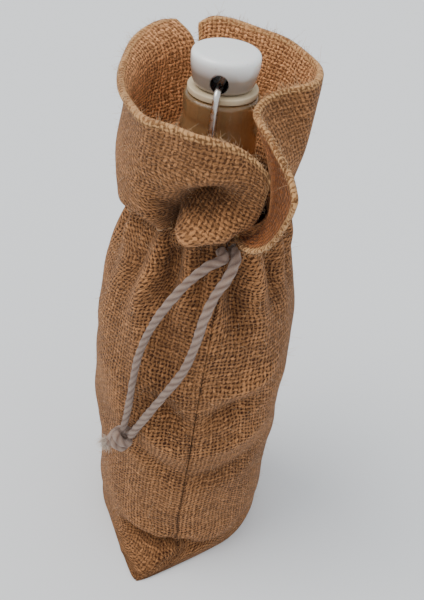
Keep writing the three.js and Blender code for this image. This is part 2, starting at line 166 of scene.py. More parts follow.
def tube_mesh(name, path, radius, sides):
    """A round closed tube. radius holds one value for each point of the path, or for each point and side."""
    path = np.asarray(path, float)
    shape = (len(path), sides)
    side, up = carried_frames(path)
    angle = np.linspace(0, 2 * math.pi, sides, endpoint=False)
    radius = np.asarray(radius, float)
    radius = np.broadcast_to(radius[:, None] if radius.ndim == 1 else radius, shape)
    around = np.cos(angle)[None, :, None] * side[:, None] + np.sin(angle)[None, :, None] * up[:, None]
    rings = path[:, None] + radius[..., None] * around
    along = distances(path)
    uv = np.stack(np.broadcast_arrays(angle / (2 * math.pi), along[:, None]), axis=2)
    last, tip = (len(path) - 1) * sides, len(path) * sides
    faces = grid_faces(*shape, wrap=True)
    for i in range(sides):
        n = (i + 1) % sides
        faces += [(n, i, tip), (last + i, last + n, tip + 1)]
    return new_mesh(name, np.vstack([rings.reshape(-1, 3), path[:1], path[-1:]]), faces,
                    np.vstack([uv.reshape(-1, 2), [[0, 0], [0, along[-1]]]]))


def from_ends(path):
    """How far each point of a path is from the nearer end."""
    along = distances(path)
    return np.minimum(along, along[-1] - along)


def round_ends(path, radius):
    """Radius at each point of a path with half-round ends."""
    near = np.clip(from_ends(path) / radius, 0, 1)
    return radius * np.sqrt(np.maximum(1 - (1 - near) ** 2, 0.01))


# ---------- cord: three plies of cotton laid up with a right-hand twist ----------
CORD_D = 4.5
CORD_SIDES = 36
CORD_STEP = 0.55
PLIES = 3
PLY_DEPTH = 0.20       # how far the valleys between the plies go in, as a share of the radius
LAY_LENGTH = 15.0
UNEVEN_LAY = ((2.2, 9.0, 0.0), (1.2, 4.3, 1.0))        # waves along the cord: size, length / 2 pi and phase
UNEVEN_RADIUS = ((0.035, 5.1, 0.0), (0.025, 2.3, 0.7))
NARROWED_BY = 0.55     # share of its length over which an end of the cord narrows


def uneven(along, waves_of):
    return sum(size * np.sin(along / length + phase) for size, length, phase in waves_of)


def rope_mesh(name, path, diameter=CORD_D, taper=0.0, thin=1.0):
    """A laid cord. Its thickness and twist are uneven, and it narrows to the share thin at its far end."""
    angle = np.linspace(0, 2 * math.pi, CORD_SIDES, endpoint=False)
    along = distances(path)
    turns = (along + uneven(along, UNEVEN_LAY)) / LAY_LENGTH
    ply = np.abs(np.cos(PLIES / 2 * (angle[None, :] - 2 * math.pi * turns[:, None])))
    radius = diameter / 2 * (1 - PLY_DEPTH + PLY_DEPTH * ply ** 0.7)
    share = np.clip(along / (NARROWED_BY * along[-1]), 0, 1)
    radius *= (1 + (thin - 1) * share + uneven(along, UNEVEN_RADIUS))[:, None]
    if taper:
        radius *= (0.35 + 0.65 * np.clip(from_ends(path) / taper, 0, 1) ** 0.5)[:, None]
    return tube_mesh(name, path, radius, CORD_SIDES)


EXIT_ANGLE = math.radians(15.4)
EXIT_R = 39.2
CORD_Z = 199.0
exit_out = np.array([math.sin(EXIT_ANGLE), -math.cos(EXIT_ANGLE), 0])
exit_side = np.array([math.cos(EXIT_ANGLE), math.sin(EXIT_ANGLE), 0])


def exit_point(side, radius):
    """Where the cord's left (-1) or right (1) end crosses a radius on its way out of the casing."""
    return exit_out * radius + exit_side * side * (CORD_D / 2 + 0.3) + np.array([0, 0, CORD_Z])


KNOT = np.array([-29.7, -46.8, 91.5])
LEFT_END = [(3.5, -44.5, 197.5), (-4, -48, 191), (-10.9, -50.2, 181), (-17.7, -49.5, 166), (-22.5, -48.8, 149),
            (-24.6, -48.5, 133), (-26.2, -47.4, 115), (-28.6, -46, 95.6)]
RIGHT_END = [(11, -47.5, 194), (7.5, -50, 188), (4, -52.2, 177), (1.2, -53, 161), (-2.5, -52.9, 146),
             (-9.8, -52.6, 130), (-16, -51, 116), (-21.5, -49.2, 103), (-24.6, -48, 95.5)]
END_STARTS_INSIDE = 3.0


def make_cord_end(name, side, points, thin):
    route = [exit_point(side, EXIT_R - END_STARTS_INSIDE), exit_point(side, EXIT_R + 2.6), *points]
    length = run_length(catmull(route, 200))
    path = catmull(route, int(length / CORD_STEP))
    return rope_mesh(name, path, thin=thin), path, length


KNOT_TURNS = 1.15
KNOT_LEAN = math.radians(28)
KNOT_MIDDLE = np.array([0.2, -0.8, 0.4])
STUB_LENGTH = 5.0


def knot_path(turn):
    """One cord of the overhand knot: it goes once round the other on its way through."""
    t = np.linspace(0, 1, 90)[:, None]
    sweep = 2 * math.pi * (KNOT_TURNS * t + turn)
    return np.hstack([4.1 * np.cos(sweep), 2.6 * np.sin(sweep), 4.6 - 8.4 * t + 1.6 * np.sin(sweep)])


def make_knot():
    lean = np.array(Matrix.Rotation(KNOT_LEAN, 3, "Y"))
    pieces, tips = [], []
    for k in range(2):
        path = knot_path(k / 2) @ lean.T + KNOT + KNOT_MIDDLE
        pieces.append(rope_mesh(f"knot_cord_{k + 1}", path, CORD_D * 0.93, taper=1.5))
    for k, (dx, dz) in enumerate(((-1.0, 0.1), (-0.7, -0.7))):
        start = KNOT + np.array([-2.6, -1.4, -1.5 + 2.2 * k])
        towards = unit(np.array([dx, -0.12, dz]))
        stub = start + np.linspace(0, STUB_LENGTH, 12)[:, None] * towards
        pieces.append(rope_mesh(f"knot_stub_{k + 1}", stub, CORD_D * 0.80, taper=1.8))
        tips.append((stub[-1], towards))
    return pieces, tips


left_end, left_path, left_length = make_cord_end("cord_left_end", -1, LEFT_END, 0.74)
right_end, right_path, right_length = make_cord_end("cord_right_end", 1, RIGHT_END, 0.86)
knot_pieces, cord_tips = make_knot()


# ---------- the bag's shape before its folds ----------
CLOTH = 1.4            # thickness of the jute, and of the frill, which is doubled
HEM = 2.4
UV_SCALE = 100.0       # millimetres of cloth for one unit of the map
FLAT_WIDTH = 150.0
FLAT_BODY = 249.0      # bottom seam to casing
FLAT_FRILL = 68.0      # casing to rim, as it is stretched here
CASING_Z = 204.0
SLOT_Z = 193.0         # lower end of the opening that the cord comes out of
EAR_HEIGHT = 17.0
EAR_FRONT = 68.0
EAR_BACK = 62.0
EAR_INSET = 7.0
EAR_ROUND = 0.035      # radians over which the fold at an ear's tip is rounded
EAR_SEAM_SHIFT = 11.0  # the front seam runs down the ear's right flank, this many degrees off its fold
SEAM_BOW = 4.0         # how far the bottom seam bows to the left in the middle
BACK_SEAM_LEAD = 180.5
SEAM_SPACE = 0.81      # from a seam's line to the middle of the cloth's edge
SEAM_PRESSED = 0.71    # the same, above and below, where the two sides are pressed together
SIGN = {"left": -1, "right": 1}
SWEEP = {"left": BACK_SEAM_LEAD - 360, "right": BACK_SEAM_LEAD}

# height, radius at left, right, front and back, and the front seam's angle in degrees
LEFT, RIGHT, FRONT, BACK, SEAM = range(1, 6)
WALL = np.array([
    [0, 43.5, 42.5, 44.5, 43, -14.5],
    [6, 45.2, 43.8, 46, 44.5, -8],
    [16, 45.8, 44.4, 47.4, 46, 1],
    [38, 46.2, 45, 49.4, 47, 2.6],
    [70, 47.5, 45.8, 49.7, 47.5, 4.6],
    [105, 49, 47, 49.6, 47.8, 6],
    [138, 48.6, 47, 49, 47, 7.4],
    [158, 45.4, 43.8, 46.6, 45, 8.8],
    [174, 41, 40.6, 43, 41.4, 10.4],
    [186, 37, 37.2, 39.8, 38, 13],
    [195, 35, 36, 38.2, 36, 15],
    [CASING_Z, 35.2, 36.6, 38, 35.6, 16],
])

# rims from the back seam to the front one, slits from the rim to the casing, and how far the middle bulges
FRILLS = {
    "left": {
        "rim": [(-25, 45.5, 261), (-30, 40.5, 262), (-35.5, 33, 261), (-39.5, 24.5, 259), (-41, 13, 257),
                (-41, -1, 255), (-38.5, -15, 254.3), (-32, -31, 255), (-26, -40, 255), (-16, -44, 255),
                (-6.5, -47, 254), (1.5, -46, 252.5), (10, -45, 249.5), (17, -45, 245), (21, -44, 239)],
        "front_slit": [(21, -43, 231), (18.6, -39.3, 219), (14.6, -38.6, 212), (8.6, -38.8, 207)],
        "back_slit": [(-17.5, 45, 255), (-14, 42, 235)],
        "bulge": 9.0,
    },
    "right": {
        "rim": [(-13.5, 46, 261), (-9, 46, 264), (0, 44.5, 264.5), (12, 41.5, 263), (24, 36, 262),
                (32, 27.5, 260.5), (38, 18, 259), (38.5, 11, 258), (34.5, 2, 257.5), (25, -2.5, 256),
                (18.3, -8, 254.5), (14.8, -14, 253), (14.2, -18, 252), (16, -23, 251), (20, -30, 249),
                (24, -38, 246.3), (28.5, -45.5, 242.5), (31.5, -51, 235)],
        "front_slit": [(28.8, -51, 222), (25, -51, 215), (20, -48.8, 210.5), (15.6, -44, 207.8)],
        "back_slit": [(-13, 45, 255), (-11.5, 42, 235)],
        "bulge": 1.0,
    },
}


def wall_value(z, column):
    """Smooth value of one column of WALL at heights z."""
    heights, values = WALL[:, 0], WALL[:, column]
    slope = np.gradient(values, heights)
    k = np.clip(np.searchsorted(heights, z) - 1, 0, len(heights) - 2)
    h = heights[k + 1] - heights[k]
    t = (z - heights[k]) / h
    return ((2 * t ** 3 - 3 * t ** 2 + 1) * values[k] + (t ** 3 - 2 * t ** 2 + t) * h * slope[k]
            + (3 * t ** 2 - 2 * t ** 3) * values[k + 1] + (t ** 3 - t ** 2) * h * slope[k + 1])


def half_turn(degrees):
    return (degrees + 180) % 360 - 180


def ear_radius(radius, degrees_off, tip_radius, z):
    """The wall's radius with an ear, whose straight flanks touch the round wall."""
    lift = np.clip(1 - z / EAR_HEIGHT, 0, 1) ** 0.85
    tip = radius + (tip_radius - radius) * lift
    spread = np.arccos(np.clip(radius / tip, -1, 1))
    off = np.sqrt(np.radians(half_turn(degrees_off)) ** 2 + EAR_ROUND ** 2) - 0.01
    return np.where(off < spread, radius / np.cos(np.clip(spread - off, 0, 1.5)), radius)


def wall_point(z, past_seam, inset=0.0):
    """Points of the outer wall at heights z and angles past the front seam, in degrees."""
    z, past_seam = np.broadcast_arrays(np.asarray(z, float), np.asarray(past_seam, float))
    a = np.radians(wall_value(z, SEAM) + past_seam)
    rx = np.where(np.sin(a) < 0, wall_value(z, LEFT), wall_value(z, RIGHT))
    ry = np.where(np.cos(a) > 0, wall_value(z, FRONT), wall_value(z, BACK))
    radius = 1 / np.hypot(np.sin(a) / rx, np.cos(a) / ry)
    radius = np.maximum(ear_radius(radius, past_seam, EAR_FRONT, z),
                        ear_radius(radius, past_seam - BACK_SEAM_LEAD, EAR_BACK, z)) - inset
    return np.stack([radius * np.sin(a), -radius * np.cos(a), z], axis=-1)


front_ear, back_ear = wall_point(0.0, 0.0), wall_point(0.0, BACK_SEAM_LEAD)
ear_to_ear = np.linalg.norm(back_ear - front_ear)
floor_along = (back_ear - front_ear) / ear_to_ear


def bottom_seam_line(s, inset=0.0):
    """Points of the bottom seam, at shares s of the way from ear to ear."""
    line = front_ear + floor_along * (inset + (ear_to_ear - 2 * inset) * s)[:, None]
    line[:, 0] -= SEAM_BOW * np.sin(math.pi * s)
    return line


# ---------- folds ----------
# Middle, direction, half length, half width and height of each.
FOLDS = [
    ((-2, -45, 225), (-1, 0, -0.35), 13, 6.0, -18.0),     # hollow over the rolled part of the left frill
    ((-14, -41, 216), (-0.5, 0, -1), 10, 4.6, -10.0),
    ((2, -45, 213), (1, 0, 0.25), 14, 4.6, 7.0),          # the roll itself
    ((-8.5, -42, 206), (-0.6, 0, -1), 8, 4.8, 5.6),       # its corner, over the casing
    ((-16, -38, 205), (0.25, 0, -1), 15, 4.2, -15.0),     # the deep fold beside that corner
    ((-22, -36, 190), (-0.1, 0, -1), 30, 4.4, 6.5),       # gathers on the front, from left to right
    ((-13.5, -38, 184), (0.1, 0, -1), 26, 3.8, -8.0),
    ((-5, -40, 184), (0, 0, -1), 24, 4.0, 3.0),
    ((0.5, -40, 184), (0, 0, -1), 20, 3.0, -3.4),
    ((6, -41, 182), (-0.08, 0, -1), 34, 2.6, 3.0),
    ((15, -39, 184), (0.1, 0, -1), 26, 4.6, -9.5),
    ((22.5, -31, 184), (0.2, 0, -1), 28, 4.5, 6.0),
    ((29, -25, 184), (0.15, 0, -1), 22, 4.0, -4.2),
    ((33.5, -17, 182), (0.15, 0, -1), 30, 4.5, 3.6),
    ((-28, -29, 184), (-0.2, 0, -1), 26, 4.5, -3.6),
    ((-33, -20, 182), (-0.2, 0, -1), 30, 5.0, 3.4),
    ((-12, -47, 150), (0.05, 0, -1), 30, 8.0, -4.4),      # slack cloth between the cord's two ends
    ((-23, -43, 150), (-0.1, 0, -1), 24, 4.0, 2.4),
    ((-8, -49, 112), (1, 0, -0.7), 14, 5.5, -5.5),        # creases that run up to the front seam
    ((-14, -48, 96), (1, 0, -0.7), 22, 4.4, 3.6),
    ((-12, -47, 78), (1, 0, -0.6), 20, 5.0, -3.4),
    ((30, -38, 132), (1, 0.6, 0.35), 24, 4.4, 4.6),
    ((20, -44, 114), (1, 0.5, 0.3), 16, 5.5, -5.5),
    ((26, -41, 94), (1, 0.6, 0.35), 24, 4.6, 3.0),
    ((22, -42, 72), (1, 0.5, 0.25), 22, 6.0, -3.6),
    ((-22, -43, 13), (1, -0.3, 0), 26, 3.2, -9.0),        # creases between the round body and the ears
    ((2, -50, 14), (1, 0.1, 0), 16, 3.0, -8.0),
    ((20, -45, 9.5), (1, 0.5, 0), 18, 3.0, -6.0),
    ((-14, -47, 23), (1, -0.1, 0), 30, 5.5, 2.8),
    ((-15, -55, 11), (1, 0.87, 0.93), 13, 2.8, 4.0),      # a fold up the front ear from its tip
    ((0, -56, 5), (1, 0.5, 0.3), 11, 2.6, -3.6),
    ((12, 41, 12), (1, 0.1, 0), 22, 4.0, -4.0),
    ((-14, 41, 12), (1, -0.1, 0), 22, 4.0, -3.4),
    ((0, 45, 24), (1, 0, 0), 30, 6.0, 2.0),
    ((-38, 26, 120), (0.5, 1, 0.6), 26, 6.0, -2.6),       # slack on the sides and the back
    ((-42, 8, 92), (0.2, 1, 0.4), 26, 6.0, 2.4),
    ((40, 18, 110), (-0.3, 1, -0.5), 26, 6.5, -2.6),
    ((34, 32, 78), (-0.5, 1, 0.5), 24, 6.0, 2.4),
    ((10, 46, 118), (1, 0, 0.6), 24, 6.0, -2.6),
    ((-18, 44, 70), (1, 0.2, -0.5), 24, 6.0, 2.4),
    ((12, 46, 60), (1, 0, 0.4), 20, 6.0, -2.0),
]
GATHERED = (58.0, 292.0)       # degrees past the front seam that the seeded gathers fill
GATHER_LEVEL = 200.0


def bump(x, centre, width):
    return np.exp(-((x - centre) / width) ** 2)


def gathers(levels, past_seam):
    """Seeded folds round the parts of the neck that FOLDS leaves plain."""
    draw = random.Random(11)
    depth = np.zeros(levels.shape)
    (angle, end), sign = GATHERED, -1
    while angle < end:
        width, size = draw.uniform(4.5, 6.5), sign * draw.uniform(2.0, 3.8)
        down, up = draw.uniform(24, 62), draw.uniform(9, 20)
        lean = draw.uniform(-0.12, 0.12)
        above = levels - GATHER_LEVEL
        reach = np.clip(np.where(above < 0, -above / down, above / up), 0, 1)
        away = half_turn(past_seam - angle - lean * above)
        depth += size * bump(away, 0, width * (1 + 0.9 * reach)) * np.cos(reach * math.pi / 2) ** 1.5
        angle += draw.uniform(8.5, 13)
        sign = -sign
    return depth


def placed_folds(points):
    depth = np.zeros(points.shape[:2])
    for middle, direction, length, width, height in FOLDS:
        direction = unit(np.array(direction, float))
        away = points - np.array(middle, float)
        along = away @ direction
        across = np.linalg.norm(away - along[..., None] * direction, axis=2)
        depth += height * np.exp(-(along / length) ** 2 - (across / width) ** 2)
    return depth


def waves(x, y, seed, low, high, count=6):
    """A smooth seeded field of a few plane waves, about -1 to 1, with low to high waves in a millimetre."""
    draw = np.random.default_rng(seed)
    total = np.zeros(np.broadcast(x, y).shape)
    for _ in range(count):
        k = draw.uniform(low, high)
        turn = draw.uniform(0, 2 * math.pi)
        phase = draw.uniform(0, 2 * math.pi)
        total += np.sin(2 * math.pi * k * (x * math.cos(turn) + y * math.sin(turn)) + phase)
    return total / math.sqrt(count)


# ---------- cloth: one sheet of jute for each side, from the bottom seam to the rim ----------
COLUMNS = 120
FLOOR_ROWS = 20
FRILL_ROWS = 48
RIM_Z = 262.0
WALL_LEVELS = np.concatenate([[0, 0.6, 1.4, 2.4, 3.6, 5], np.linspace(6.4, CASING_Z - 1.6, 142)])
CASING_DIP = 3.2       # how far the cord draws the casing in
TURN_IN_Z = [8, 20, 60, 85, 110, 135, SLOT_Z, CASING_Z]
TURN_IN = [0.1, 0.3, 0.6, 1.0, 1.0, 0.0, -0.5, 0]
RELAX_STEPS = 120
MOST_MOVE = 5.0
SMOOTHING = 0.05
EDGE_TURNS = [math.pi * k / 5 for k in range(1, 5)]
INSIDE_MARKS = ("inner", "lap")

# Least distance of the cloth's middle from the axis at each height. It clears the bottle, lifted or not,
# and leaves room for the cord and the lining in the casing.
LEAST_Z = [0, 164, 174, 184, 190, 193.5, 196, 199, 202, 205, 211, 220, 238, 252]
LEAST_R = [37.1, 37.1, 36.0, 32.8, 30.5, 30.2, 32.2, 32.6, 32.2, 29.0, 25.5, 26.1, 26.1, 19.6]


def seam_to_seam(side, z, fractions):
    """Angles past the front seam of one side's columns, at a height."""
    space = float(np.interp(z, [50, 80, 105, 135], [SEAM_PRESSED, SEAM_SPACE, SEAM_SPACE, SEAM_PRESSED]))
    lean = SIGN[side] * math.degrees(space / np.linalg.norm(wall_point(z, 0.0)[:2]))
    angles = lean + (SWEEP[side] - 2 * lean) * fractions
    shift = EAR_SEAM_SHIFT * float(np.interp(z, [0, 3, 8, 18], [0, 1, 1, 0]))
    return angles + shift * bump(half_turn(angles), 0, 30)


def body_rows(side, fractions):
    """Rows of the wall's middle surface: across the floor, round the edge and up to the casing."""
    floor = seam_to_seam(side, 0.0, fractions)
    edge = wall_point(0.0, floor)
    s = np.clip((edge - front_ear) @ floor_along / ear_to_ear, 0, 1)
    seam = bottom_seam_line(s, EAR_INSET)
    seam[:, 0] += SIGN[side] * 0.9
    rows = [seam + (edge - seam) * f for f in np.linspace(0, 1, FLOOR_ROWS)[:-1]]
    angles = [floor] * len(rows) + [seam_to_seam(side, z, fractions) for z in WALL_LEVELS]
    rows += [wall_point(z, row) for z, row in zip(WALL_LEVELS, angles[len(rows):])]
    return np.array(rows), np.array(angles)


def smooth_join(first, second, count):
    """One smooth curve through two lists of points that share an end, as two evenly spaced parts."""
    whole = catmull([*first, *second[1:]], 900)
    split = int(np.argmin(np.linalg.norm(whole - np.array(first[-1], float), axis=1)))
    return evenly(whole[:split + 1], 600), evenly(whole[split:], count)


def outward(grid):
    return unit(grid * np.array([1, 1, 0]))


def frill_rows(side, fractions):
    """Rows of the frill's middle surface, from the casing to the rim."""
    shape, sign = FRILLS[side], SIGN[side]
    past = sign * 7 + (SWEEP[side] - sign * 8.5) * fractions
    foot = wall_point(CASING_Z, past, HEM / 2) + np.array([0, 0, 0.7])
    rim, front = smooth_join(shape["rim"], [shape["rim"][-1], *shape["front_slit"], tuple(foot[0])], FRILL_ROWS)
    rim, front = between(fractions, np.linspace(0, 1, len(rim)), rim[::-1]), front[::-1]
    back = catmull([tuple(foot[-1]), *shape["back_slit"][::-1], tuple(rim[-1])], FRILL_ROWS)
    u, v = fractions[None, :, None], np.linspace(0, 1, FRILL_ROWS)[:, None, None]
    corners = (1 - u) * (1 - v) * foot[0] + u * (1 - v) * foot[-1] + (1 - u) * v * rim[0] + u * v * rim[-1]
    grid = (1 - v) * foot[None] + v * rim[None] + (1 - u) * front[:, None] + u * back[:, None] - corners
    bulge = shape["bulge"] * np.sin(math.pi * v ** 0.65) * np.sin(math.pi * u) ** 0.6
    return grid + outward(grid) * bulge, past


def relax(grid, rest, hold):
    """Gives every thread its own length back, so that gathered cloth buckles, near the shape that is drawn."""
    drawn = grid.copy()

    def edges(of, axis):
        edge = np.diff(of, axis=axis)
        return edge, np.linalg.norm(edge, axis=2, keepdims=True)

    lengths = [np.maximum(length, 0.98 * edges(drawn, axis)[1]) for axis, length in enumerate(rest)]
    for _ in range(RELAX_STEPS):
        move = np.zeros_like(grid)
        for axis, stiff in ((1, 0.14), (0, 0.12)):
            edge, size = edges(grid, axis)
            pull = np.swapaxes(stiff * (1 - lengths[axis] / np.maximum(size, 1e-6)) * edge, 0, axis)
            line, moved = np.swapaxes(grid, 0, axis), np.swapaxes(move, 0, axis)
            moved[:-1] += pull
            moved[1:] -= pull
            moved[1:-1] += SMOOTHING * (line[2:] + line[:-2] - 2 * line[1:-1])
        grid = grid + move
        grid += hold[..., None] * (drawn - grid)
        away = grid - drawn
        size = np.linalg.norm(away, axis=2, keepdims=True)
        grid = drawn + away * np.minimum(1, MOST_MOVE / np.maximum(size, 1e-6))
        radius = np.hypot(grid[..., 0], grid[..., 1])
        least = np.interp(grid[..., 2], LEAST_Z, LEAST_R)
        short = (radius < least) & (grid[..., 2] > 12)
        grid[..., :2] *= np.where(short, least / np.maximum(radius, 1e-6), 1)[..., None]
    return grid


def folded(side, grid, levels, spots, fractions):
    """The cloth's surface with its folds, and how high each point of a fold stands, which the material turns
    into painted shade in the hollows and painted light on the ridges.
    """
    on_wall = np.clip((levels - 2) / 5, 0, 1)
    below = levels < CASING_Z
    edge = np.minimum(fractions, 1 - fractions) * FLAT_WIDTH
    near_seam = np.clip(edge / 5, 0, 1)[None, :] ** 0.7
    depth = gathers(levels, spots) * near_seam
    depth += placed_folds(grid) * on_wall * np.where(below, 0.35 + 0.65 * near_seam, 1)
    depth -= CASING_DIP * bump(levels, 200.5, 4.6)
    depth -= np.where(below, CLOTH / 2, 0) * on_wall
    across = FLAT_WIDTH * fractions[None, :] * SIGN[side]
    creases = 0.5 * waves(across, levels, 3, 0.012, 0.045) + 0.5 * waves(across, levels, 5, 0.008, 0.03)
    depth += creases * on_wall * np.clip((250 - levels) / 40, 0, 1)
    # the cloth turns in at a seam, and under the casing it stands up beside the seam instead
    turn_in = bump(edge, 0, 1.6)[None, :] * np.where(below & (levels > 8), 1, 0)
    depth -= turn_in * np.interp(levels, TURN_IN_Z, TURN_IN)
    return grid + outward(grid) * depth[..., None], np.clip(depth / 6, -1, 1) * on_wall


def cloth_surface(side):
    """Middle surface of one side's cloth, its thickness, and where each point is on the flat cloth."""
    fractions = np.linspace(0, 1, COLUMNS + 1)
    body, angles = body_rows(side, fractions)
    frill, past = frill_rows(side, fractions)
    rows = len(body)
    grid = np.concatenate([body, frill[1:]])
    z = np.concatenate([body[:, 0, 2], np.linspace(CASING_Z, RIM_Z, FRILL_ROWS)[1:]])
    levels = np.broadcast_to(z[:, None], grid.shape[:2])
    spots = np.concatenate([angles, np.broadcast_to(past, (FRILL_ROWS - 1, len(past)))])
    grid, painted_fold_shading = folded(side, grid, levels, spots, fractions)
    for _ in range(8):
        inner = grid[rows - 8:rows + 6]
        inner += 0.25 * (grid[rows - 9:rows + 5] + grid[rows - 7:rows + 7] - 2 * inner)
    steps = np.median(np.linalg.norm(np.diff(grid, axis=0), axis=2), axis=1)
    edge = np.minimum(fractions, 1 - fractions) * FLAT_WIDTH
    held = np.where(levels < 3, 1.0, 0.06) + 0.25 * bump(edge, 0, 3)[None, :]
    held = held + 0.10 * bump(levels, 199, 6) + 0.06 * (levels > 255) + 0.20 * bump(levels, 6, 9)
    grid = relax(grid, (steps[:, None, None], FLAT_WIDTH / COLUMNS), np.clip(held, 0, 1))
    thickness = np.interp(levels, [0, 200, 206, 252, RIM_Z], [CLOTH, CLOTH, HEM, HEM, HEM + 0.7])
    grid[..., 2] = np.maximum(grid[..., 2], thickness / 2)
    flat, from_slit, from_rim = laid_flat(grid, rows, SIGN[side])
    from_slit = np.where(levels > CASING_Z + 4, from_slit, 99)
    doubled = np.clip((levels - CASING_Z - 4) / 10, 0, 1)
    # marks for the material: the fold heights give painted shade in the hollows and painted light on the
    # ridges; inner marks painted light on the frill's inside; lap marks painted shade on the inside beside the
    # front slit
    marks = {"edge": bump(np.minimum(from_slit, from_rim), 0, 1.0), "doubled": doubled, "painted_fold_shading": painted_fold_shading,
             "inner": doubled * np.clip((fractions - 0.07) / 0.16, 0.1, 1)[None, :],
             "lap": np.clip((levels - CASING_Z) / 2, 0, 1) * np.clip((0.26 - fractions) / 0.10, 0, 1)[None, :]}
    return grid, thickness, flat, marks


def steps_from_start(grid, axis):
    """How far along one axis of the grid each point is. Each step is averaged over its neighbours."""
    step = np.linalg.norm(np.diff(grid, axis=axis), axis=2)
    other, reach = 1 - axis, 3
    mean = sum(np.roll(step, k, axis=other) for k in range(-reach, reach + 1)) / (2 * reach + 1)
    place = np.arange(step.shape[other])
    inside = np.expand_dims((place >= reach) & (place < len(place) - reach), axis)
    total = np.cumsum(np.where(inside, mean, step), axis=axis)
    return np.insert(total, 0, 0, axis=axis)


def laid_flat(grid, rows, sign):
    """Place on the flat cloth, measured along the threads, and distances from the slits and the rim."""
    across, up = steps_from_start(grid, 1), steps_from_start(grid, 0)
    share = across / across[:, -1:]
    own = np.clip(0.95 - 0.8 * share, 0, 1)
    u = across * own + FLAT_WIDTH * share * (1 - own)
    body = FLAT_BODY - (up[rows - 1] - up[:rows])
    frill = FLAT_BODY + FLAT_FRILL * (up[rows:] - up[rows - 1]) / (up[-1] - up[rows - 1])
    v = np.concatenate([body, frill])
    from_slit = np.minimum(across, across[:, -1:] - across)
    return np.stack([u * sign, v], axis=2), from_slit, FLAT_BODY + FLAT_FRILL - v


def surface_normals(grid):
    normal = np.cross(np.gradient(grid, axis=1), np.gradient(grid, axis=0))
    for _ in range(3):
        normal = unit(normal)
        mean = normal.copy()
        mean[1:] += normal[:-1]
        mean[:-1] += normal[1:]
        mean[:, 1:] += normal[:, :-1]
        mean[:, :-1] += normal[:, 1:]
        normal = mean
    return unit(normal)


def skewed(flat):
    """The weave as it lies: pulled a little off square, differently from place to place."""
    u, v = flat[..., 0], flat[..., 1]
    return np.stack([u + 1.2 * waves(u, v, 21, 0.005, 0.014), v + 2.0 * waves(u, v, 22, 0.005, 0.014)], axis=2)


def in_cloth(away, normal):
    return away - normal * np.sum(away * normal, axis=1, keepdims=True)


def thick_sheet(name, grid, normal, thickness, flat, marks=None):
    """A closed sheet: the outer face, a rounded edge, and the inner face."""
    rows, cols = grid.shape[:2]
    half = thickness[..., None] / 2
    flat = skewed(flat)
    ring = ([(0, i) for i in range(cols)] + [(j, cols - 1) for j in range(1, rows)]
            + [(rows - 1, i) for i in range(cols - 2, -1, -1)] + [(j, 0) for j in range(rows - 2, 0, -1)])
    j, i = np.array(ring).T
    # away from the cloth at each point of its edge
    away = in_cloth(grid[j, i] - grid[np.clip(j, 1, rows - 2), np.clip(i, 1, cols - 2)], normal[j, i])
    for _ in range(3):
        away = unit(away)
        away = np.roll(away, 1, axis=0) + away + np.roll(away, -1, axis=0)
    away = unit(in_cloth(away, normal[j, i]))
    layers = [(grid + normal * half).reshape(-1, 3), (grid - normal * half).reshape(-1, 3)]
    uvs = [flat.reshape(-1, 2)] * 2
    for turn in EDGE_TURNS:
        layers.append(grid[j, i] + half[j, i] * (normal[j, i] * math.cos(turn) + away * math.sin(turn) * 0.9))
        uvs.append(flat[j, i] + np.array([0, 1.3 * math.sin(turn)]))
    count, size = rows * cols, len(ring)
    outer = j * cols + i
    edge_starts = 2 * count + size * np.arange(len(EDGE_TURNS))
    bands = [outer, *[start + np.arange(size) for start in edge_starts], outer + count]
    faces = grid_faces(rows, cols) + grid_faces(rows, cols, offset=count, flip=True)
    for a, b in zip(bands[:-1], bands[1:]):
        faces += np.stack([a, b, np.roll(b, -1), np.roll(a, -1)], axis=1).tolist()
    piece = new_mesh(name, np.vstack(layers), faces, np.vstack(uvs) / UV_SCALE)
    for mark, value in (marks or {}).items():
        # an inside mark fades in round the edge, from nothing on the outer face
        shares = [turn / math.pi if mark in INSIDE_MARKS else 1.0 for turn in (0.0, math.pi, *EDGE_TURNS)]
        parts = [value, value, *[value[j, i]] * len(EDGE_TURNS)]
        values = np.concatenate([(part * share).reshape(-1) for part, share in zip(parts, shares)])
        attribute = piece.data.attributes.new(mark, "FLOAT", "POINT")
        attribute.data.foreach_set("value", values.astype(np.float32))
    face_outwards(piece)
    return piece


def face_outwards(piece):
    made = bmesh.new()
    made.from_mesh(piece.data)
    bmesh.ops.recalc_face_normals(made, faces=made.faces)
    made.to_mesh(piece.data)
    made.free()


def make_cloth(side):
    grid, thickness, flat, marks = cloth_surface(side)
    normal = surface_normals(grid) * SIGN[side]
    return thick_sheet(f"{side}_cloth", grid, normal, thickness, flat, marks), grid, normal


# ---------- the casing's lining ----------
LINING_T = 1.1
LINING_BAND = (193.5, 207)     # heights that it covers
LINING_GAP = 0.9               # from the cord's surface to the lining's middle
LEAST_CORD_R = 29.1


def cord_radius(points):
    """How far out the middle of the cord runs inside the casing, towards each of the points."""
    ring = np.concatenate([grid[int(np.argmin(np.abs(grid[:, COLUMNS // 2, 2] - CORD_Z)))]
                           for grid in (left_grid, right_grid)])
    towards = np.degrees(np.arctan2(points[:, 0], -points[:, 1]))
    around = np.degrees(np.arctan2(ring[:, 0], -ring[:, 1]))
    near = np.abs(half_turn(towards[:, None] - around[None, :])) < 7
    least = np.where(near, np.hypot(ring[:, 0], ring[:, 1])[None, :], 99).min(axis=1)
    return np.clip(least - CLOTH / 2 - 0.5 - CORD_D / 2, LEAST_CORD_R, 33)


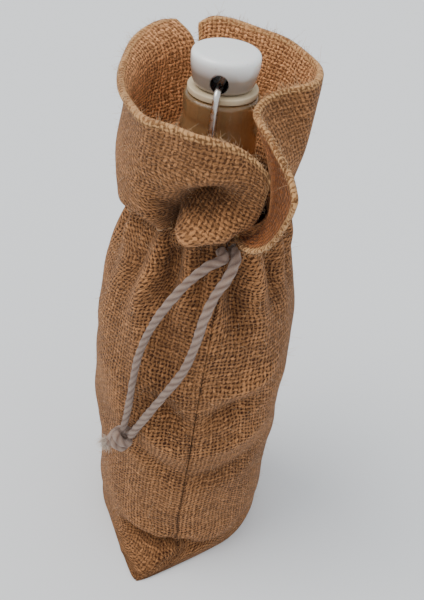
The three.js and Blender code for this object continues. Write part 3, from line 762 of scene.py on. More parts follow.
def make_lining(side, grid):
    """The inner layer of the casing, which goes round the cord and keeps it in."""
    band = slice(*np.searchsorted(grid[:, COLUMNS // 2, 2], LINING_BAND))
    middle = grid[band, 2:-2]
    reach = np.hypot(middle[..., 0], middle[..., 1])
    cord = cord_radius(middle.reshape(-1, 3)).reshape(reach.shape)
    round_cord = np.sqrt(np.maximum((CORD_D / 2 + LINING_GAP) ** 2 - (middle[..., 2] - CORD_Z) ** 2, 0))
    wanted = np.where(round_cord > 0, np.minimum(reach - 1.7, cord - round_cord), reach - 1.7)
    lining = middle * np.stack([wanted / reach, wanted / reach, np.ones_like(reach)], axis=2)
    for _ in range(6):
        lining[:, 1:-1] += 0.25 * (lining[:, 2:] + lining[:, :-2] - 2 * lining[:, 1:-1])
    flat = np.meshgrid(np.linspace(2, FLAT_WIDTH - 2, middle.shape[1]), np.linspace(320, 345, len(middle)))
    return thick_sheet(f"{side}_casing_lining", lining, surface_normals(lining) * SIGN[side],
                       np.full(middle.shape[:2], LINING_T), np.stack(flat, axis=2))


# ---------- loose fibres and the cord's frayed tips ----------
EDGE_FIBRES = 650
SLIT_FIBRES = 120
FACE_FIBRES = 1500
FRAY_FIBRES = 260
FIBRE_POINTS = 5
FIBRE_LENGTH = 1.4
LONGEST_FIBRE = 3.6
FIBRE_R = 0.07
CLEAR_OF_EXIT = 8.0            # no loose fibres where the cord's ends rub as they swing


def curved(start, aim, length, bend):
    """The points along each fibre, which sets off along aim and bends away."""
    t = np.linspace(0, 1, FIBRE_POINTS)
    forward, aside = (length * t)[..., None], (length * t ** 2)[..., None]
    return start[:, None] + aim[:, None] * forward + bend[:, None] * aside


def fibres(name, path, aim):
    """Thin tapered hairs in one mesh, from the points along each and the way each sets off."""
    across = unit(np.cross(aim, (0.3, 0.5, 0.8)))
    other = np.cross(aim, across)
    turn = 2 * math.pi * np.arange(3) / 3
    ring = np.cos(turn)[:, None] * across[:, None] + np.sin(turn)[:, None] * other[:, None]
    thin = FIBRE_R * np.linspace(1, 0.4, FIBRE_POINTS)
    points = path[:, :, None] + thin[None, :, None, None] * ring[:, None]
    faces = []
    for first in range(0, points[..., 0].size, FIBRE_POINTS * 3):
        last = first + (FIBRE_POINTS - 1) * 3
        faces += grid_faces(FIBRE_POINTS, 3, offset=first, wrap=True)
        faces += [(first + 2, first + 1, first), (last, last + 1, last + 2)]
    return new_mesh(name, points.reshape(-1, 3), faces)


def make_fuzz(side, grid, normal, seed):
    """Loose fibres: most stand on the frill's edges, and the rest on the outside of the cloth."""
    draw = np.random.default_rng(seed)
    rows, cols = grid.shape[:2]
    slit_foot = int(np.searchsorted(grid[:, COLUMNS // 2, 2], CASING_Z)) + 12
    j = np.concatenate([np.full(EDGE_FIBRES, rows - 1), draw.integers(slit_foot, rows - 1, 2 * SLIT_FIBRES),
                        draw.integers(30, rows - 2, FACE_FIBRES)])
    i = np.concatenate([draw.integers(1, cols - 1, EDGE_FIBRES), np.zeros(SLIT_FIBRES, int),
                        np.full(SLIT_FIBRES, cols - 1), draw.integers(2, cols - 2, FACE_FIBRES)])
    count = len(j)
    on_face = (np.arange(count) >= count - FACE_FIBRES)[:, None]
    edge = unit(grid[j, i] - grid[np.clip(j, 1, rows - 2), np.clip(i, 1, cols - 2)] + 1e-6)
    out = np.where(on_face, normal[j, i], edge)
    along = grid[j, np.minimum(i + 1, cols - 1)] - grid[j, np.maximum(i - 1, 0)]
    raised = out * np.where(on_face, CLOTH / 2, HEM / 2) * 0.8
    start = grid[j, i] + draw.uniform(-0.5, 0.5, (count, 1)) * along + raised
    start = start + normal[j, i] * draw.uniform(-0.6, 0.6, (count, 1)) * ~on_face
    aim = unit(out + draw.normal(0, 0.75, (count, 3)))
    curl = draw.normal(0, 0.55, (count, 3))
    length = np.minimum(draw.gamma(2.2, FIBRE_LENGTH / 2.2, (count, 1)), LONGEST_FIBRE)
    path = curved(start, aim, length, curl)
    path[..., 2] = np.maximum(path[..., 2], 0.3)
    clear = np.linalg.norm(start - exit_point(0, EXIT_R), axis=1) > CLEAR_OF_EXIT
    return fibres(f"{side}_fuzz", path[clear], aim[clear])


def make_fray(ends):
    """The unlaid tips of the cord beyond the knot: soft brushes of cotton fibres."""
    draw = np.random.default_rng(41)
    paths, aims = [], []
    for tip, towards in ends:
        aim = unit(towards + draw.normal(0, 0.42, (FRAY_FIBRES, 3)))
        start = tip + draw.normal(0, 0.85, (FRAY_FIBRES, 3)) - 1.2 * towards
        length = draw.uniform(1.5, 3.8, (FRAY_FIBRES, 1))
        drop = np.array([0, 0, -0.5]) + draw.normal(0, 0.25, (FRAY_FIBRES, 3))
        paths.append(curved(start, aim, length, drop))
        aims.append(aim)
    return fibres("cord_fray", np.concatenate(paths), np.concatenate(aims))


left_cloth, left_grid, left_normal = make_cloth("left")
right_cloth, right_grid, right_normal = make_cloth("right")
left_lining = make_lining("left", left_grid)
right_lining = make_lining("right", right_grid)
left_fuzz = make_fuzz("left", left_grid, left_normal, 31)
right_fuzz = make_fuzz("right", right_grid, right_normal, 32)
fray = make_fray(cord_tips)


# ---------- bottle and its swing-top closure ----------
BOTTLE_BASE_Z = 5.0
BOTTLE_R = 35.5
BOTTLE_WALL = 3.0
LIP_Z = 251.5
LIP_R = 15.6
BORE_R = 9.4
GAP = 0.35             # between the lip, the gasket and the head
GASKET_R = 14.4
GASKET_T = 2.6
HEAD_TOP_Z = 269.0
HEAD_R = 14
HEAD_FOOT_R = 12.3
PLUG_R = 7.4
PLUG_DEPTH = 3.0
HOLE_R = 3.3           # the bore for the bail, across the head
HOLE_Z = 259.3
HOLE_FLARE = 1.1
BAIL_D = 2.8
LEVER_D = 2.3
PIVOT_Z = 228.0
EYE_Z = 219.0
EYE_R = 2.8
EYE_WIRE_INSIDE = 17.95        # how far to the side the eye's one turn of wire starts and ends
EYE_WIRE_OUTSIDE = 19.7
LEVER_S = 18.6
BAIL_S = 22.2
PIN_Z = HOLE_Z - HOLE_R + BAIL_D / 2 + 0.12
CLOSURE_TURN = math.radians(-6)


def turned(points):
    """The closure's own axes, turned on the bottle's neck."""
    c, s = math.cos(CLOSURE_TURN), math.sin(CLOSURE_TURN)
    x, y, z = np.moveaxis(np.asarray(points, float), -1, 0)
    return np.stack([c * x - s * y, s * x + c * y, z], axis=-1)


def lathe(name, profile, segments=96):
    """A closed surface of revolution. The profile's ends lie on the axis or meet."""
    profile = np.asarray(profile, float)
    closed = bool(np.allclose(profile[0], profile[-1]))
    angle = np.linspace(0, 2 * math.pi, segments, endpoint=False)
    points, index = [], []
    for r, z in profile[:-1] if closed else profile:
        first, count = len(points), 1 if r < 1e-6 else segments
        index.append([first + i % count for i in range(segments)])
        points.extend((r * math.cos(a), r * math.sin(a), z) for a in angle[:count])
    pairs = list(zip(index[:-1], index[1:])) + ([(index[-1], index[0])] if closed else [])
    faces = []
    for a, b in pairs:
        for i in range(segments):
            n = (i + 1) % segments
            faces.append(tuple(dict.fromkeys((a[i], a[n], b[n], b[i]))))
    return new_mesh(name, turned(points), faces)


def rounded(profile, reach, steps=5):
    """A profile with its corners rounded by short arcs."""
    p = [np.array(q, float) for q in profile]
    out = [p[0]]
    for a, b, c in zip(p[:-2], p[1:-1], p[2:]):
        cut = min(reach, 0.45 * np.linalg.norm(a - b), 0.45 * np.linalg.norm(c - b))
        before, after = b + unit(a - b) * cut, b + unit(c - b) * cut
        out += [(1 - t) ** 2 * before + 2 * t * (1 - t) * b + t ** 2 * after for t in np.linspace(0, 1, steps)]
    return out + [p[-1]]


def wire_mesh(name, points, diameter, step=0.5):
    path = catmull(points, int(run_length(np.array(points, float)) / step))
    return tube_mesh(name, turned(path), round_ends(path, diameter / 2), 24)


def make_bottle():
    foot, inner_r = BOTTLE_BASE_Z, BOTTLE_R - BOTTLE_WALL
    outside = [(0, foot + 4), (14, foot + 3), (24, foot), (31.5, foot), (34.6, foot + 2.5),
               (BOTTLE_R, foot + 7), (BOTTLE_R, 146), (34.4, 156), (31.2, 166), (26.8, 176), (22.8, 187),
               (19.8, 198), (17.8, 209), (16.8, 220), (16.3, 230), (16, 238), (15.2, 242),
               (LIP_R, 244.5), (LIP_R, LIP_Z - 1),
               (LIP_R - 1, LIP_Z), (BORE_R + 0.6, LIP_Z), (BORE_R, LIP_Z - 0.8)]
    inside = [(BORE_R, 236), (11.5, 224), (13.6, 208), (16.6, 197), (20, 186.5), (24, 175.5), (28.5, 164.5),
              (31.4, 154), (inner_r, 144), (inner_r, foot + 12), (28, foot + 7), (0, foot + 9)]
    return lathe("bottle_glass", rounded(outside + inside, 3.0))


def make_gasket():
    low, high, bore = LIP_Z + GAP, LIP_Z + GAP + GASKET_T, PLUG_R + GAP
    start = (bore, (low + high) / 2)
    profile = [start, (bore, low), (GASKET_R, low), (GASKET_R, high), (bore, high), start]
    return lathe("gasket_ring", rounded(profile, 0.7))


def make_head():
    foot = LIP_Z + 2 * GAP + GASKET_T
    profile = rounded([(0, LIP_Z - PLUG_DEPTH), (PLUG_R, LIP_Z - PLUG_DEPTH), (PLUG_R, foot),
                       (HEAD_FOOT_R, foot), (HEAD_R, HEAD_TOP_Z - 6), (HEAD_R, HEAD_TOP_Z),
                       (0, HEAD_TOP_Z + 0.01)], 3.2, steps=9)
    profile[-1] = np.array([0, HEAD_TOP_Z])
    head = lathe("stopper_porcelain", profile, segments=128)
    half = [(0, 40), (HOLE_R + 4, 40), (HOLE_R + 4, HEAD_R + 1), (HOLE_R + HOLE_FLARE, HEAD_R - 0.2),
            (HOLE_R, HEAD_R - 2.4)]
    cutter = lathe("cutter", rounded([(r, -z) for r, z in half] + half[::-1], 1.2), segments=64)
    turn = Matrix.Rotation(CLOSURE_TURN, 4, "Z") @ Matrix.Rotation(math.pi / 2, 4, "X")
    turn = Matrix.Translation((0, 0, HOLE_Z * MM)) @ turn @ Matrix.Rotation(-CLOSURE_TURN, 4, "Z")
    cutter.data.transform(turn)
    cut = head.modifiers.new("hole", "BOOLEAN")
    cut.operation, cut.solver, cut.object = "DIFFERENCE", "EXACT", cutter
    bpy.context.view_layer.update()
    made = bpy.data.meshes.new_from_object(head.evaluated_get(bpy.context.evaluated_depsgraph_get()))
    head.modifiers.clear()
    head.data = made
    bpy.data.objects.remove(cutter)
    made.polygons.foreach_set("use_smooth", [True] * len(made.polygons))
    head.modifiers.new("edges", "EDGE_SPLIT").split_angle = math.radians(38)
    return head


def both_sides(half, middle, first):
    """A wire's points from its first side, -1 or 1, over the middle to the other, from those of one half."""
    one, other = ([(x, side * y, z) for x, y, z in half] for side in (first, -first))
    return one + [middle] + other[::-1]


def make_bail():
    leg = [(LEVER_S - 0.5, EYE_Z), (BAIL_S - 1.6, EYE_Z), (BAIL_S, EYE_Z + 1.8), (BAIL_S, EYE_Z + 8),
           (BAIL_S - 0.6, EYE_Z + 17), (BAIL_S - 3, EYE_Z + 27), (BAIL_S - 4.9, EYE_Z + 34),
           (BAIL_S - 6.1, PIN_Z - 1.4), (BAIL_S - 8.2, PIN_Z)]
    return wire_mesh("bail", both_sides([(0, y, z) for y, z in leg], (0, 0, PIN_Z), -1), BAIL_D)


def make_lever():
    """The pivots, the arms, one turn for each eye, and the handle."""
    arm = [(0, 15.2, PIVOT_Z), (0, 17, PIVOT_Z), (0.7, EYE_WIRE_INSIDE, PIVOT_Z - 1.6),
           (2.3, EYE_WIRE_INSIDE, PIVOT_Z - 4.8)]
    turn = np.radians(np.arange(0, 431, 20))
    across = np.linspace(EYE_WIRE_INSIDE, EYE_WIRE_OUTSIDE, len(turn))
    eye = [(EYE_R * math.cos(a), y, EYE_Z - EYE_R * math.sin(a)) for a, y in zip(turn, across)]
    handle = [(-6, 19.1, EYE_Z - 8.5), (-13, 17.4, EYE_Z - 13), (-19.5, 13, EYE_Z - 15.5)]
    return wire_mesh("lever", both_sides(arm + eye + handle, (-22.8, 0, EYE_Z - 16.3), 1), LEVER_D)


bottle = make_bottle()
gasket = make_gasket()
head = make_head()
bail = make_bail()
lever = make_lever()


# ---------- seams, stitches and the cord inside the casing ----------
SEAM_STRIP_W = 8.0
THREAD_D = 0.9
STITCH_LENGTH = 3.2
STITCH_PITCH = 4.6
LOOP_END = 4.6         # the cord in the casing stops short of the hanging ends, which swing


def strip_mesh(name, centre, across, out, thickness):
    """A narrow closed band of cloth along a line of points."""
    shape = [(-1, -1), (-0.5, -1), (0, -1), (0.5, -1), (1, -1), (1, 1), (0.5, 1), (0, 1), (-0.5, 1), (-1, 1)]
    half = SEAM_STRIP_W / 2
    points = np.stack([centre + across * half * x + out * thickness / 2 * y for x, y in shape], axis=1)
    sides = len(shape)
    uv = np.stack([np.broadcast_to([half * x for x, _ in shape], points.shape[:2]),
                   np.broadcast_to(distances(centre)[:, None], points.shape[:2])], axis=2) / UV_SCALE
    last = (len(centre) - 1) * sides
    faces = grid_faces(len(centre), sides, wrap=True)
    faces += [tuple(range(sides))[::-1], tuple(range(last, last + sides))]
    return new_mesh(name, points.reshape(-1, 3), faces, uv.reshape(-1, 2))


def side_seam(name, angle):
    """The seam allowance behind the joint between the two panels."""
    z = np.linspace(EAR_HEIGHT + 3, SLOT_Z - 2, 120)
    inset = CLOTH + 2.4
    centre = wall_point(z, angle, inset)
    across = unit(wall_point(z, angle + 2, inset) - wall_point(z, angle - 2, inset))
    return strip_mesh(name, centre, across, unit(centre - wall_point(z, angle, inset + 1)), 1.0)


def bottom_seam():
    centre = bottom_seam_line(np.linspace(0.18, 0.82, 60))
    centre[:, 2] = CLOTH + 1.0
    across = np.array([floor_along[1], -floor_along[0], 0])
    return strip_mesh("bottom_seam_strip", centre, across, np.array([0.0, 0.0, 1.0]), 1.2)


def casing_stitches(side, grid):
    """A row of running stitches that follows the gathered cloth, just under the casing's upper edge."""
    level = int(np.argmin(np.abs(grid[:, COLUMNS // 2, 2] - (CASING_Z - 1.5))))
    line = grid[level, 6:-3]
    run, out = distances(line), outward(line)
    pieces = []
    for start in np.arange(1.0, run[-1] - STITCH_LENGTH, STITCH_PITCH):
        at = np.linspace(start, start + STITCH_LENGTH, 9)
        rise = 0.5 + THREAD_D * np.sin(np.linspace(0, math.pi, len(at))) ** 0.6
        path = between(at, run, line) + between(at, run, out) * rise[:, None]
        pieces.append(tube_mesh(f"{side}_stitch", path, round_ends(path, THREAD_D / 2), 8))
    return joined(f"{side}_casing_stitches", pieces)


def joined(name, pieces):
    """One object that holds the meshes of several."""
    points, faces = [], []
    for piece in pieces:
        mesh = piece.data
        faces += [tuple(len(points) + v for v in f.vertices) for f in mesh.polygons]
        points += [np.array(v.co) / MM for v in mesh.vertices]
        bpy.data.objects.remove(piece)
        bpy.data.meshes.remove(mesh)
    return new_mesh(name, points, faces)


def make_loop():
    """The cord inside the casing, from one opening round the neck to the other."""
    around = wall_point(CORD_Z, np.linspace(14, 346, 37))
    scale = cord_radius(around) / np.hypot(around[:, 0], around[:, 1])
    ring = around * np.stack([scale, scale, np.ones(len(around))], axis=1)
    first, last = ([exit_point(side, EXIT_R - back) for back in (LOOP_END, 6.4)] for side in (1, -1))
    return rope_mesh("drawstring_in_casing", catmull([*first, *ring, *last[::-1]], 420), CORD_D - 0.4)


front_seam = side_seam("front_seam_strip", 0.0)
back_seam = side_seam("back_seam_strip", BACK_SEAM_LEAD)
floor_seam = bottom_seam()
left_stitches = casing_stitches("left", left_grid)
right_stitches = casing_stitches("right", right_grid)
loop = make_loop()


# ---------- materials ----------
class Value:
    """A number, vector or colour that a material's nodes work out. Sums with it make more nodes."""

    def __init__(self, material, socket):
        self.math, self.socket = material.math, socket

    def __add__(self, other):
        return self.math("ADD", self, other)

    def __sub__(self, other):
        return self.math("SUBTRACT", self, other)

    def __rsub__(self, other):
        return self.math("SUBTRACT", other, self)

    def __mul__(self, other):
        return self.math("MULTIPLY", self, other)

    def __truediv__(self, other):
        return self.math("DIVIDE", self, other)

    def __pow__(self, other):
        return self.math("POWER", self, other)

    def __gt__(self, other):
        return self.math("GREATER_THAN", self, other)

    def __abs__(self):
        return self.math("ABSOLUTE", self)


class Material:
    """Short calls for building a material's nodes."""

    def __init__(self, name, **inputs):
        self.made = bpy.data.materials.new(name)
        self.made.use_nodes = True
        self.tree = self.made.node_tree
        self.shader = self.tree.nodes["Principled BSDF"]
        self.give(**inputs)

    def put(self, socket, value):
        if isinstance(value, Value):
            self.tree.links.new(value.socket, socket)
        elif value is not None:
            socket.default_value = value

    def give(self, **inputs):
        for key, value in inputs.items():
            self.put(self.shader.inputs[key.replace("_", " ")], value)

    def node(self, kind, *values, output=0, **settings):
        made = self.tree.nodes.new("ShaderNode" + kind)
        for key, value in settings.items():
            setattr(made, key, value)
        for socket, value in zip(made.inputs, values):
            self.put(socket, value)
        return Value(self, made.outputs[output])

    def math(self, operation, *values):
        return self.node("Math", *values, operation=operation)

    def mix(self, share, a, b, blend="MIX"):
        unused = [None] * 5        # the Mix node's inputs for numbers and vectors
        return self.node("Mix", share, *unused, a, b, output=2, data_type="RGBA", blend_type=blend)

    def noise(self, vector, scale, detail=2.0, rough=0.5):
        return self.node("TexNoise", vector, None, scale, detail, rough)

    def vector(self, x, y, z):
        return self.node("CombineXYZ", x, y, z)

    def white_noise(self, x, y, z):
        return self.node("TexWhiteNoise", self.vector(x, y, z), output="Value")

    def place(self):
        """Where a point is on the object, in metres."""
        return self.node("TexCoord", output="Object")

    def mark(self, name):
        """A value that the mesh holds at each of its points."""
        return self.node("Attribute", output="Fac", attribute_name=name)

    def map(self):
        """The two coordinates of the piece's map."""
        split = self.tree.nodes.new("ShaderNodeSeparateXYZ")
        self.put(split.inputs[0], self.node("UVMap"))
        return Value(self, split.outputs[0]), Value(self, split.outputs[1])

    def ramp(self, value, *stops):
        made = self.tree.nodes.new("ShaderNodeValToRGB")
        self.put(made.inputs[0], value)
        elements = made.color_ramp.elements
        while len(elements) < len(stops):
            elements.new(0.5)
        for element, (place, colour) in zip(elements, stops):
            element.position, element.color = place, colour
        return Value(self, made.outputs[0])

    def remap(self, value, low, high, new_low=0.0, new_high=1.0):
        return self.node("MapRange", value, low, high, new_low, new_high)

    def bump(self, height, distance, strength=1.0):
        made = self.tree.nodes.new("ShaderNodeBump")
        for key, value in (("Strength", strength), ("Distance", distance), ("Height", height)):
            self.put(made.inputs[key], value)
        self.give(Normal=Value(self, made.outputs[0]))


WEAVE_PITCH = 1.95     # from thread to thread
THREAD_WIDTH = (0.18, 0.355)           # half a thread's width, thinnest and thickest, as a share of the pitch
EDGE_COLOUR = (0.64, 0.355, 0.150, 1)
PAINTED_INSIDE_LIGHT = (2.80, 2.95, 3.2, 1)     # painted light: the frill's inside is made paler than its outside, for light through the weave and off other cloth
LAP_SHADE = (0.70, 0.50, 0.36, 1)      # beside the front slit light reaches the inside only off other cloth
BORE_SHADE = 0.07                      # painted shade: the faces inside the bore are far darker than the glaze
PAINTED_FOOT_SHADE = (0.30, 0.250, 0.205)      # painted shade: share of the head's white that its foot keeps, for the frill's shadow and the warm light off the jute
PAINTED_FOOT_SHADE_Z = (HEAD_TOP_Z - 8.0, HEAD_TOP_Z - 0.8)


def jute(name, light, dark, hole_shade):
    """Plain-woven jute of uneven hairy threads, open in places, and paler at its edge, with painted light on
    its inside and painted shade in its holes and folds.
    """
    m = Material(name, Roughness=0.9, Sheen_Weight=0.13, Sheen_Roughness=0.45,
                 Sheen_Tint=(1.0, 0.76, 0.55, 1.0), Specular_IOR_Level=0.15)
    place, (u, v) = m.place(), m.map()
    # the threads' own coordinates: one unit from thread to thread, and swaying a little
    kink = m.remap(m.noise(place, 800.0, 1.0), 0.25, 0.75, -0.22, 0.22)
    u = u * (UV_SCALE / WEAVE_PITCH) + (m.remap(m.noise(place, 150.0), 0, 1, -0.6, 0.6) + kink)
    v = v * (UV_SCALE / WEAVE_PITCH) + (m.remap(m.noise(place, 161.0), 0, 1, 0.6, -0.6) + kink)
    odd = m.math("PINGPONG", m.math("FLOOR", u) + m.math("FLOOR", v), 1.0)
    heights, shades, covers = [], [], []
    for along, across, sign in ((v, u, 1.0), (u, v, -1.0)):
        index = m.math("FLOOR", across)
        slub = m.noise(m.vector(index, along * 0.35, 5.0 * sign), 1.0)
        off = abs(m.math("FRACT", across) - 0.5)
        inside = 1.0 - (off / m.remap(slub, 0.3, 0.7, *THREAD_WIDTH)) ** 2.0
        round_top = m.math("MAXIMUM", inside, 0.0) ** 0.5
        wave = m.math("SINE", m.math("FRACT", along) * math.pi) ** 0.6
        heights.append(round_top * 0.5 + (0.5 - odd) * sign * wave * (inside > 0.0))
        covers.append(inside)
        tone = m.white_noise(index, 0.0, sign)
        crest = m.white_noise(index, m.math("FLOOR", along), 3.0 + sign)
        hair = m.noise(m.vector(across * 3.6, along * 0.9, sign), 1.0, 3.0, 0.7)
        shades.append(tone * 0.24 + crest * 0.20 + m.remap(hair, 0.28, 0.72) * 0.70)
    height = m.math("MAXIMUM", *heights)
    shade = m.mix(heights[0] > heights[1], shades[1], shades[0])
    patch = m.remap(m.noise(place, 26.0, 3.0), 0.3, 0.7, -0.12, 0.08)
    # painted shade in the folds' hollows and painted light on their ridges
    painted_fold_shading = m.remap(m.mark("painted_fold_shading"), -1.0, 1.0, -0.26, 0.17)
    # painted light on the thread crests and painted shade down their sides, from the weave's height
    value = shade + (patch + painted_fold_shading) + m.remap(height, 0.10, 0.85, -0.12, 0.16)
    pale = tuple(min(1.0, 2.0 * part) for part in light[:3]) + (1,)
    cloth = m.ramp(value, (0.20, dark), (0.58, light), (0.95, pale))
    # loose fibres lie over the threads in all directions
    for turn, seed in ((0.5, 0.0), (2.2, 7.0)):
        run = u * math.cos(turn) + v * math.sin(turn)
        side = v * math.cos(turn) - u * math.sin(turn)
        fibre = m.noise(m.vector(run * 0.45, side * 5.0, seed), 1.0)
        cloth = m.mix(m.remap(fibre, 0.60, 0.72) * 0.5, cloth, pale)
    # painted shade: where no thread covers, the hole is coloured with the dark seen through it, less dark where
    # the frill is doubled
    hole = m.remap(m.math("MAXIMUM", *covers), 0.36, -0.22)
    open_here = m.remap(m.noise(place, 45.0, 3.0), 0.38, 0.60, 0.62, 1.0)
    colour = m.mix(hole * open_here * m.remap(m.mark("doubled"), 0, 1, 1.0, 0.7), cloth, hole_shade)
    # painted light on the frill's inside
    colour = m.mix(m.mark("inner"), colour, PAINTED_INSIDE_LIGHT, blend="MULTIPLY")
    colour = m.mix(m.mark("lap"), colour, LAP_SHADE, blend="MULTIPLY")
    colour = m.mix(m.mark("edge") * m.remap(height, 0.2, 0.9, 0.15, 0.95), colour, EDGE_COLOUR)
    m.give(Base_Color=colour)
    m.bump(height + shade * 0.6, 0.0006, 0.9)
    return m.made


def cotton(name, light, dark):
    """Soft spun cotton: fine strands along the plies, with painted shade in the grooves between them."""
    m = Material(name, Roughness=0.9, Sheen_Weight=0.35, Sheen_Roughness=0.45, Specular_IOR_Level=0.15)
    place, (around, along) = m.place(), m.map()
    turn = around - along * (1 / LAY_LENGTH)
    strand = m.math("SINE", turn * (2 * math.pi * 30) + m.noise(place, 500.0) * 5.0)
    # painted shade: darker in the grooves between the plies and lighter on their crowns
    painted_ply_shade = abs(m.math("COSINE", turn * (PLIES * math.pi)))
    fine = m.noise(place, 1800.0, 3.0, 0.65)
    m.give(Base_Color=m.ramp(painted_ply_shade * 0.55 + fine * 0.5 + strand * 0.06, (0.32, dark), (0.88, light)))
    m.bump(strand * 0.5 + fine, 0.00025)
    return m.made


def glass(name):
    """Brown bottle glass with faint mould ripples."""
    m = Material(name, Base_Color=(0.60, 0.39, 0.19, 1.0), Roughness=0.05, IOR=1.45, Transmission_Weight=0.72)
    m.bump(m.noise(m.place(), 90.0), 0.0004, 0.25)
    return m.made


def porcelain(name, shade=1.0):
    """White glaze, faintly uneven, with a few tiny specks, and with painted shade that darkens and warms it
    towards the foot.
    """
    m = Material(name, Roughness=0.16, Coat_Weight=0.5, Coat_Roughness=0.06, Subsurface_Weight=0.05)
    place = m.place()
    tint = m.ramp(m.noise(place, 60.0, 3.0), (0.3, (0.93, 0.925, 0.91, 1)), (0.7, (0.97, 0.968, 0.96, 1)))
    speck = m.remap(m.noise(place, 900.0, 1.0), 0.74, 0.80)
    tint = m.mix(speck * 0.35, tint, (0.45, 0.4, 0.33, 1))
    # painted shade, darker and warmer from near the top of the head down to its foot
    high = m.remap(m.node("SeparateXYZ", place, output=2), *(z * MM for z in PAINTED_FOOT_SHADE_Z))
    painted_shade = m.mix(high, tuple(shade * part for part in PAINTED_FOOT_SHADE) + (1,), (shade, shade, shade, 1))
    m.give(Base_Color=m.mix(1.0, tint, painted_shade, blend="MULTIPLY"))
    m.bump(m.noise(place, 130.0), 0.0003, 0.12)
    return m.made


def rubber(name):
    """Cream rubber, matt and slightly marked."""
    m = Material(name, Specular_IOR_Level=0.3)
    place = m.place()
    grain = m.noise(place, 1500.0, 3.0)
    tint = m.ramp(m.noise(place, 160.0, 3.0), (0.3, (0.56, 0.44, 0.28, 1)), (0.7, (0.68, 0.56, 0.38, 1)))
    m.give(Base_Color=tint, Roughness=m.remap(grain, 0.3, 0.7, 0.5, 0.75))
    m.bump(grain, 0.00012, 0.6)
    return m.made


def steel(name):
    """Bright drawn wire with fine draw lines and matt spots."""
    m = Material(name, Metallic=1.0, Base_Color=(0.62, 0.60, 0.57, 1.0))
    place = m.place()
    m.give(Roughness=m.remap(m.noise(place, 420.0, 3.0), 0.35, 0.7, 0.18, 0.42))
    m.bump(m.noise(place, 1500.0), 0.00005, 0.25)
    return m.made


def mark_bore(piece):
    """Gives the faces inside the cross hole the second material, the dark one of painted shade."""
    along = np.array([-math.sin(CLOSURE_TURN), math.cos(CLOSURE_TURN), 0])
    for face in piece.data.polygons:
        centre = np.array(face.center) / MM - np.array([0, 0, HOLE_Z])
        depth = centre @ along
        if np.linalg.norm(centre - depth * along) < HOLE_R + 0.25 and abs(depth) < HEAD_R - 1.6:
            face.material_index = 1


# light and dark thread colours, and the painted shade seen through the holes
jute_cloth = jute("jute_weave", (0.268, 0.121, 0.048, 1), (0.106, 0.042, 0.014, 1), (0.040, 0.0115, 0.004, 1))
seam_cloth = jute("jute_seam", (0.25, 0.11, 0.045, 1), (0.11, 0.045, 0.016, 1), (0.025, 0.009, 0.003, 1))
thread = cotton("stitch_thread", (0.42, 0.24, 0.115, 1), (0.20, 0.10, 0.045, 1))
fray_cotton = cotton("fray_cotton", (0.66, 0.54, 0.44, 1), (0.42, 0.32, 0.25, 1))
fibre = cotton("loose_fibre", (0.62, 0.40, 0.21, 1), (0.36, 0.20, 0.09, 1))
cord_cotton = cotton("cotton_cord", (0.50, 0.345, 0.262, 1), (0.215, 0.127, 0.090, 1))
bright_steel = steel("bright_steel")


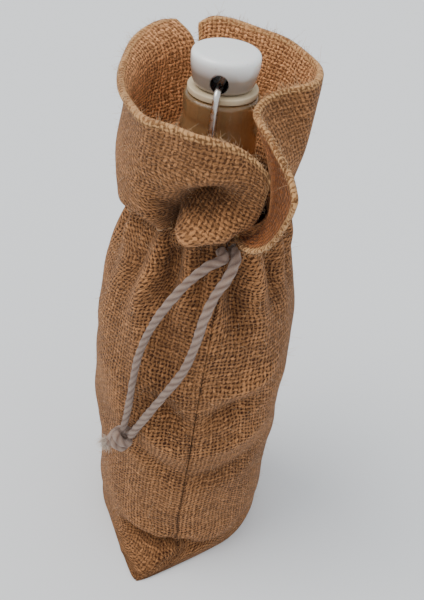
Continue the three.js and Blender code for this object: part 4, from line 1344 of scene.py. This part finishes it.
# ---------- what each piece moves with, is made of and stands for ----------
knot_rows = [(piece, "cord_ends", "cotton_cord", cord_cotton, "drawstring_knot") for piece in knot_pieces]
for piece, body, slot, material, *nodes in (
    (bottle, "bottle", "glass", glass("bottle_glass"), "bottle"),
    (head, "stopper", "porcelain", porcelain("white_glaze"), "stopper_head"),
    (gasket, "stopper", "gasket_rubber", rubber("cream_rubber"), "gasket"),
    (bail, "bail", "steel_wire", bright_steel, "bail_wire"),
    (lever, "lever", "steel_wire", bright_steel, "lever_wire"),
    (left_end, "cord_ends", "cotton_cord", cord_cotton, "drawstring_left_end"),
    (right_end, "cord_ends", "cotton_cord", cord_cotton, "drawstring_right_end"),
    *knot_rows,
    (fray, "cord_ends", "cotton_cord", fray_cotton, "drawstring_knot"),
    (loop, "bag", "cotton_cord", cord_cotton, "drawstring_loop"),
    (front_seam, "bag", "jute_seam", seam_cloth, "front_seam"),
    (back_seam, "bag", "jute_seam", seam_cloth, "back_seam"),
    (floor_seam, "bag", "jute_seam", seam_cloth, "bottom_seam"),
    (left_stitches, "bag", "jute_thread", thread, "left_casing_stitching"),
    (right_stitches, "bag", "jute_thread", thread, "right_casing_stitching"),
    (left_cloth, None, "jute", jute_cloth, "left_panel", "left_frill"),
    (right_cloth, None, "jute", jute_cloth, "right_panel", "right_frill"),
    (left_fuzz, None, "jute", fibre, "left_panel", "left_frill"),
    (right_fuzz, None, "jute", fibre, "right_panel", "right_frill"),
    (left_lining, "bag", "jute_hem", jute_cloth, "left_panel"),
    (right_lining, "bag", "jute_hem", jute_cloth, "right_panel"),
):
    piece.data.materials.clear()
    piece.data.materials.append(material)
    if body:
        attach(piece, body)
    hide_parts(*nodes)
# painted shade inside the cross hole
head.data.materials.append(porcelain("bore_painted_shade", BORE_SHADE))
mark_bore(head)

for piece in (left_cloth, left_fuzz):
    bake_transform(piece)
for piece in (right_cloth, right_fuzz):
    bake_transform(piece)

for piece, side, length, path, ends_with in ((left_end, -1, left_length, left_path, [*knot_pieces, fray]),
                                             (right_end, 1, right_length, right_path, [])):
    tuple(exit_point(side, EXIT_R - END_STARTS_INSIDE) * MM)
    length * MM
    [tuple(p * MM) for p in path]


# ---------- floor and lights ----------
FLOOR_HALF = 2500.0


def make_floor():
    corners = [(x * FLOOR_HALF, y * FLOOR_HALF, 0) for x, y in ((-1, -1), (1, -1), (1, 1), (-1, 1))]
    floor = new_mesh("floor", corners, [(0, 1, 2, 3)])
    paper = Material("floor_paper", Roughness=0.75, Base_Color=(0.82, 0.835, 0.85, 1.0), Specular_IOR_Level=0.2)
    floor.data.materials.append(paper.made)


def soft_sun(name, direction, spread, power, colour):
    data = bpy.data.lights.new(name, "SUN")
    data.angle, data.energy, data.color = math.radians(spread), power, colour
    added(name, data).rotation_euler = (-Vector(direction)).to_track_quat("-Z", "Y").to_euler()


def make_light():
    scene.world = bpy.data.worlds.new("studio")
    scene.world.use_nodes = True
    background = scene.world.node_tree.nodes["Background"]
    background.inputs["Color"].default_value = (0.93, 0.965, 1.0, 1.0)
    background.inputs["Strength"].default_value = 1.0
    soft_sun("key", (-0.65, -0.12, 1.0), 45, 1.8, (1.0, 0.97, 0.93))
    soft_sun("fill", (0.1, -0.9, 0.75), 60, 0.15, (1.0, 0.98, 0.96))


make_floor()
make_light()
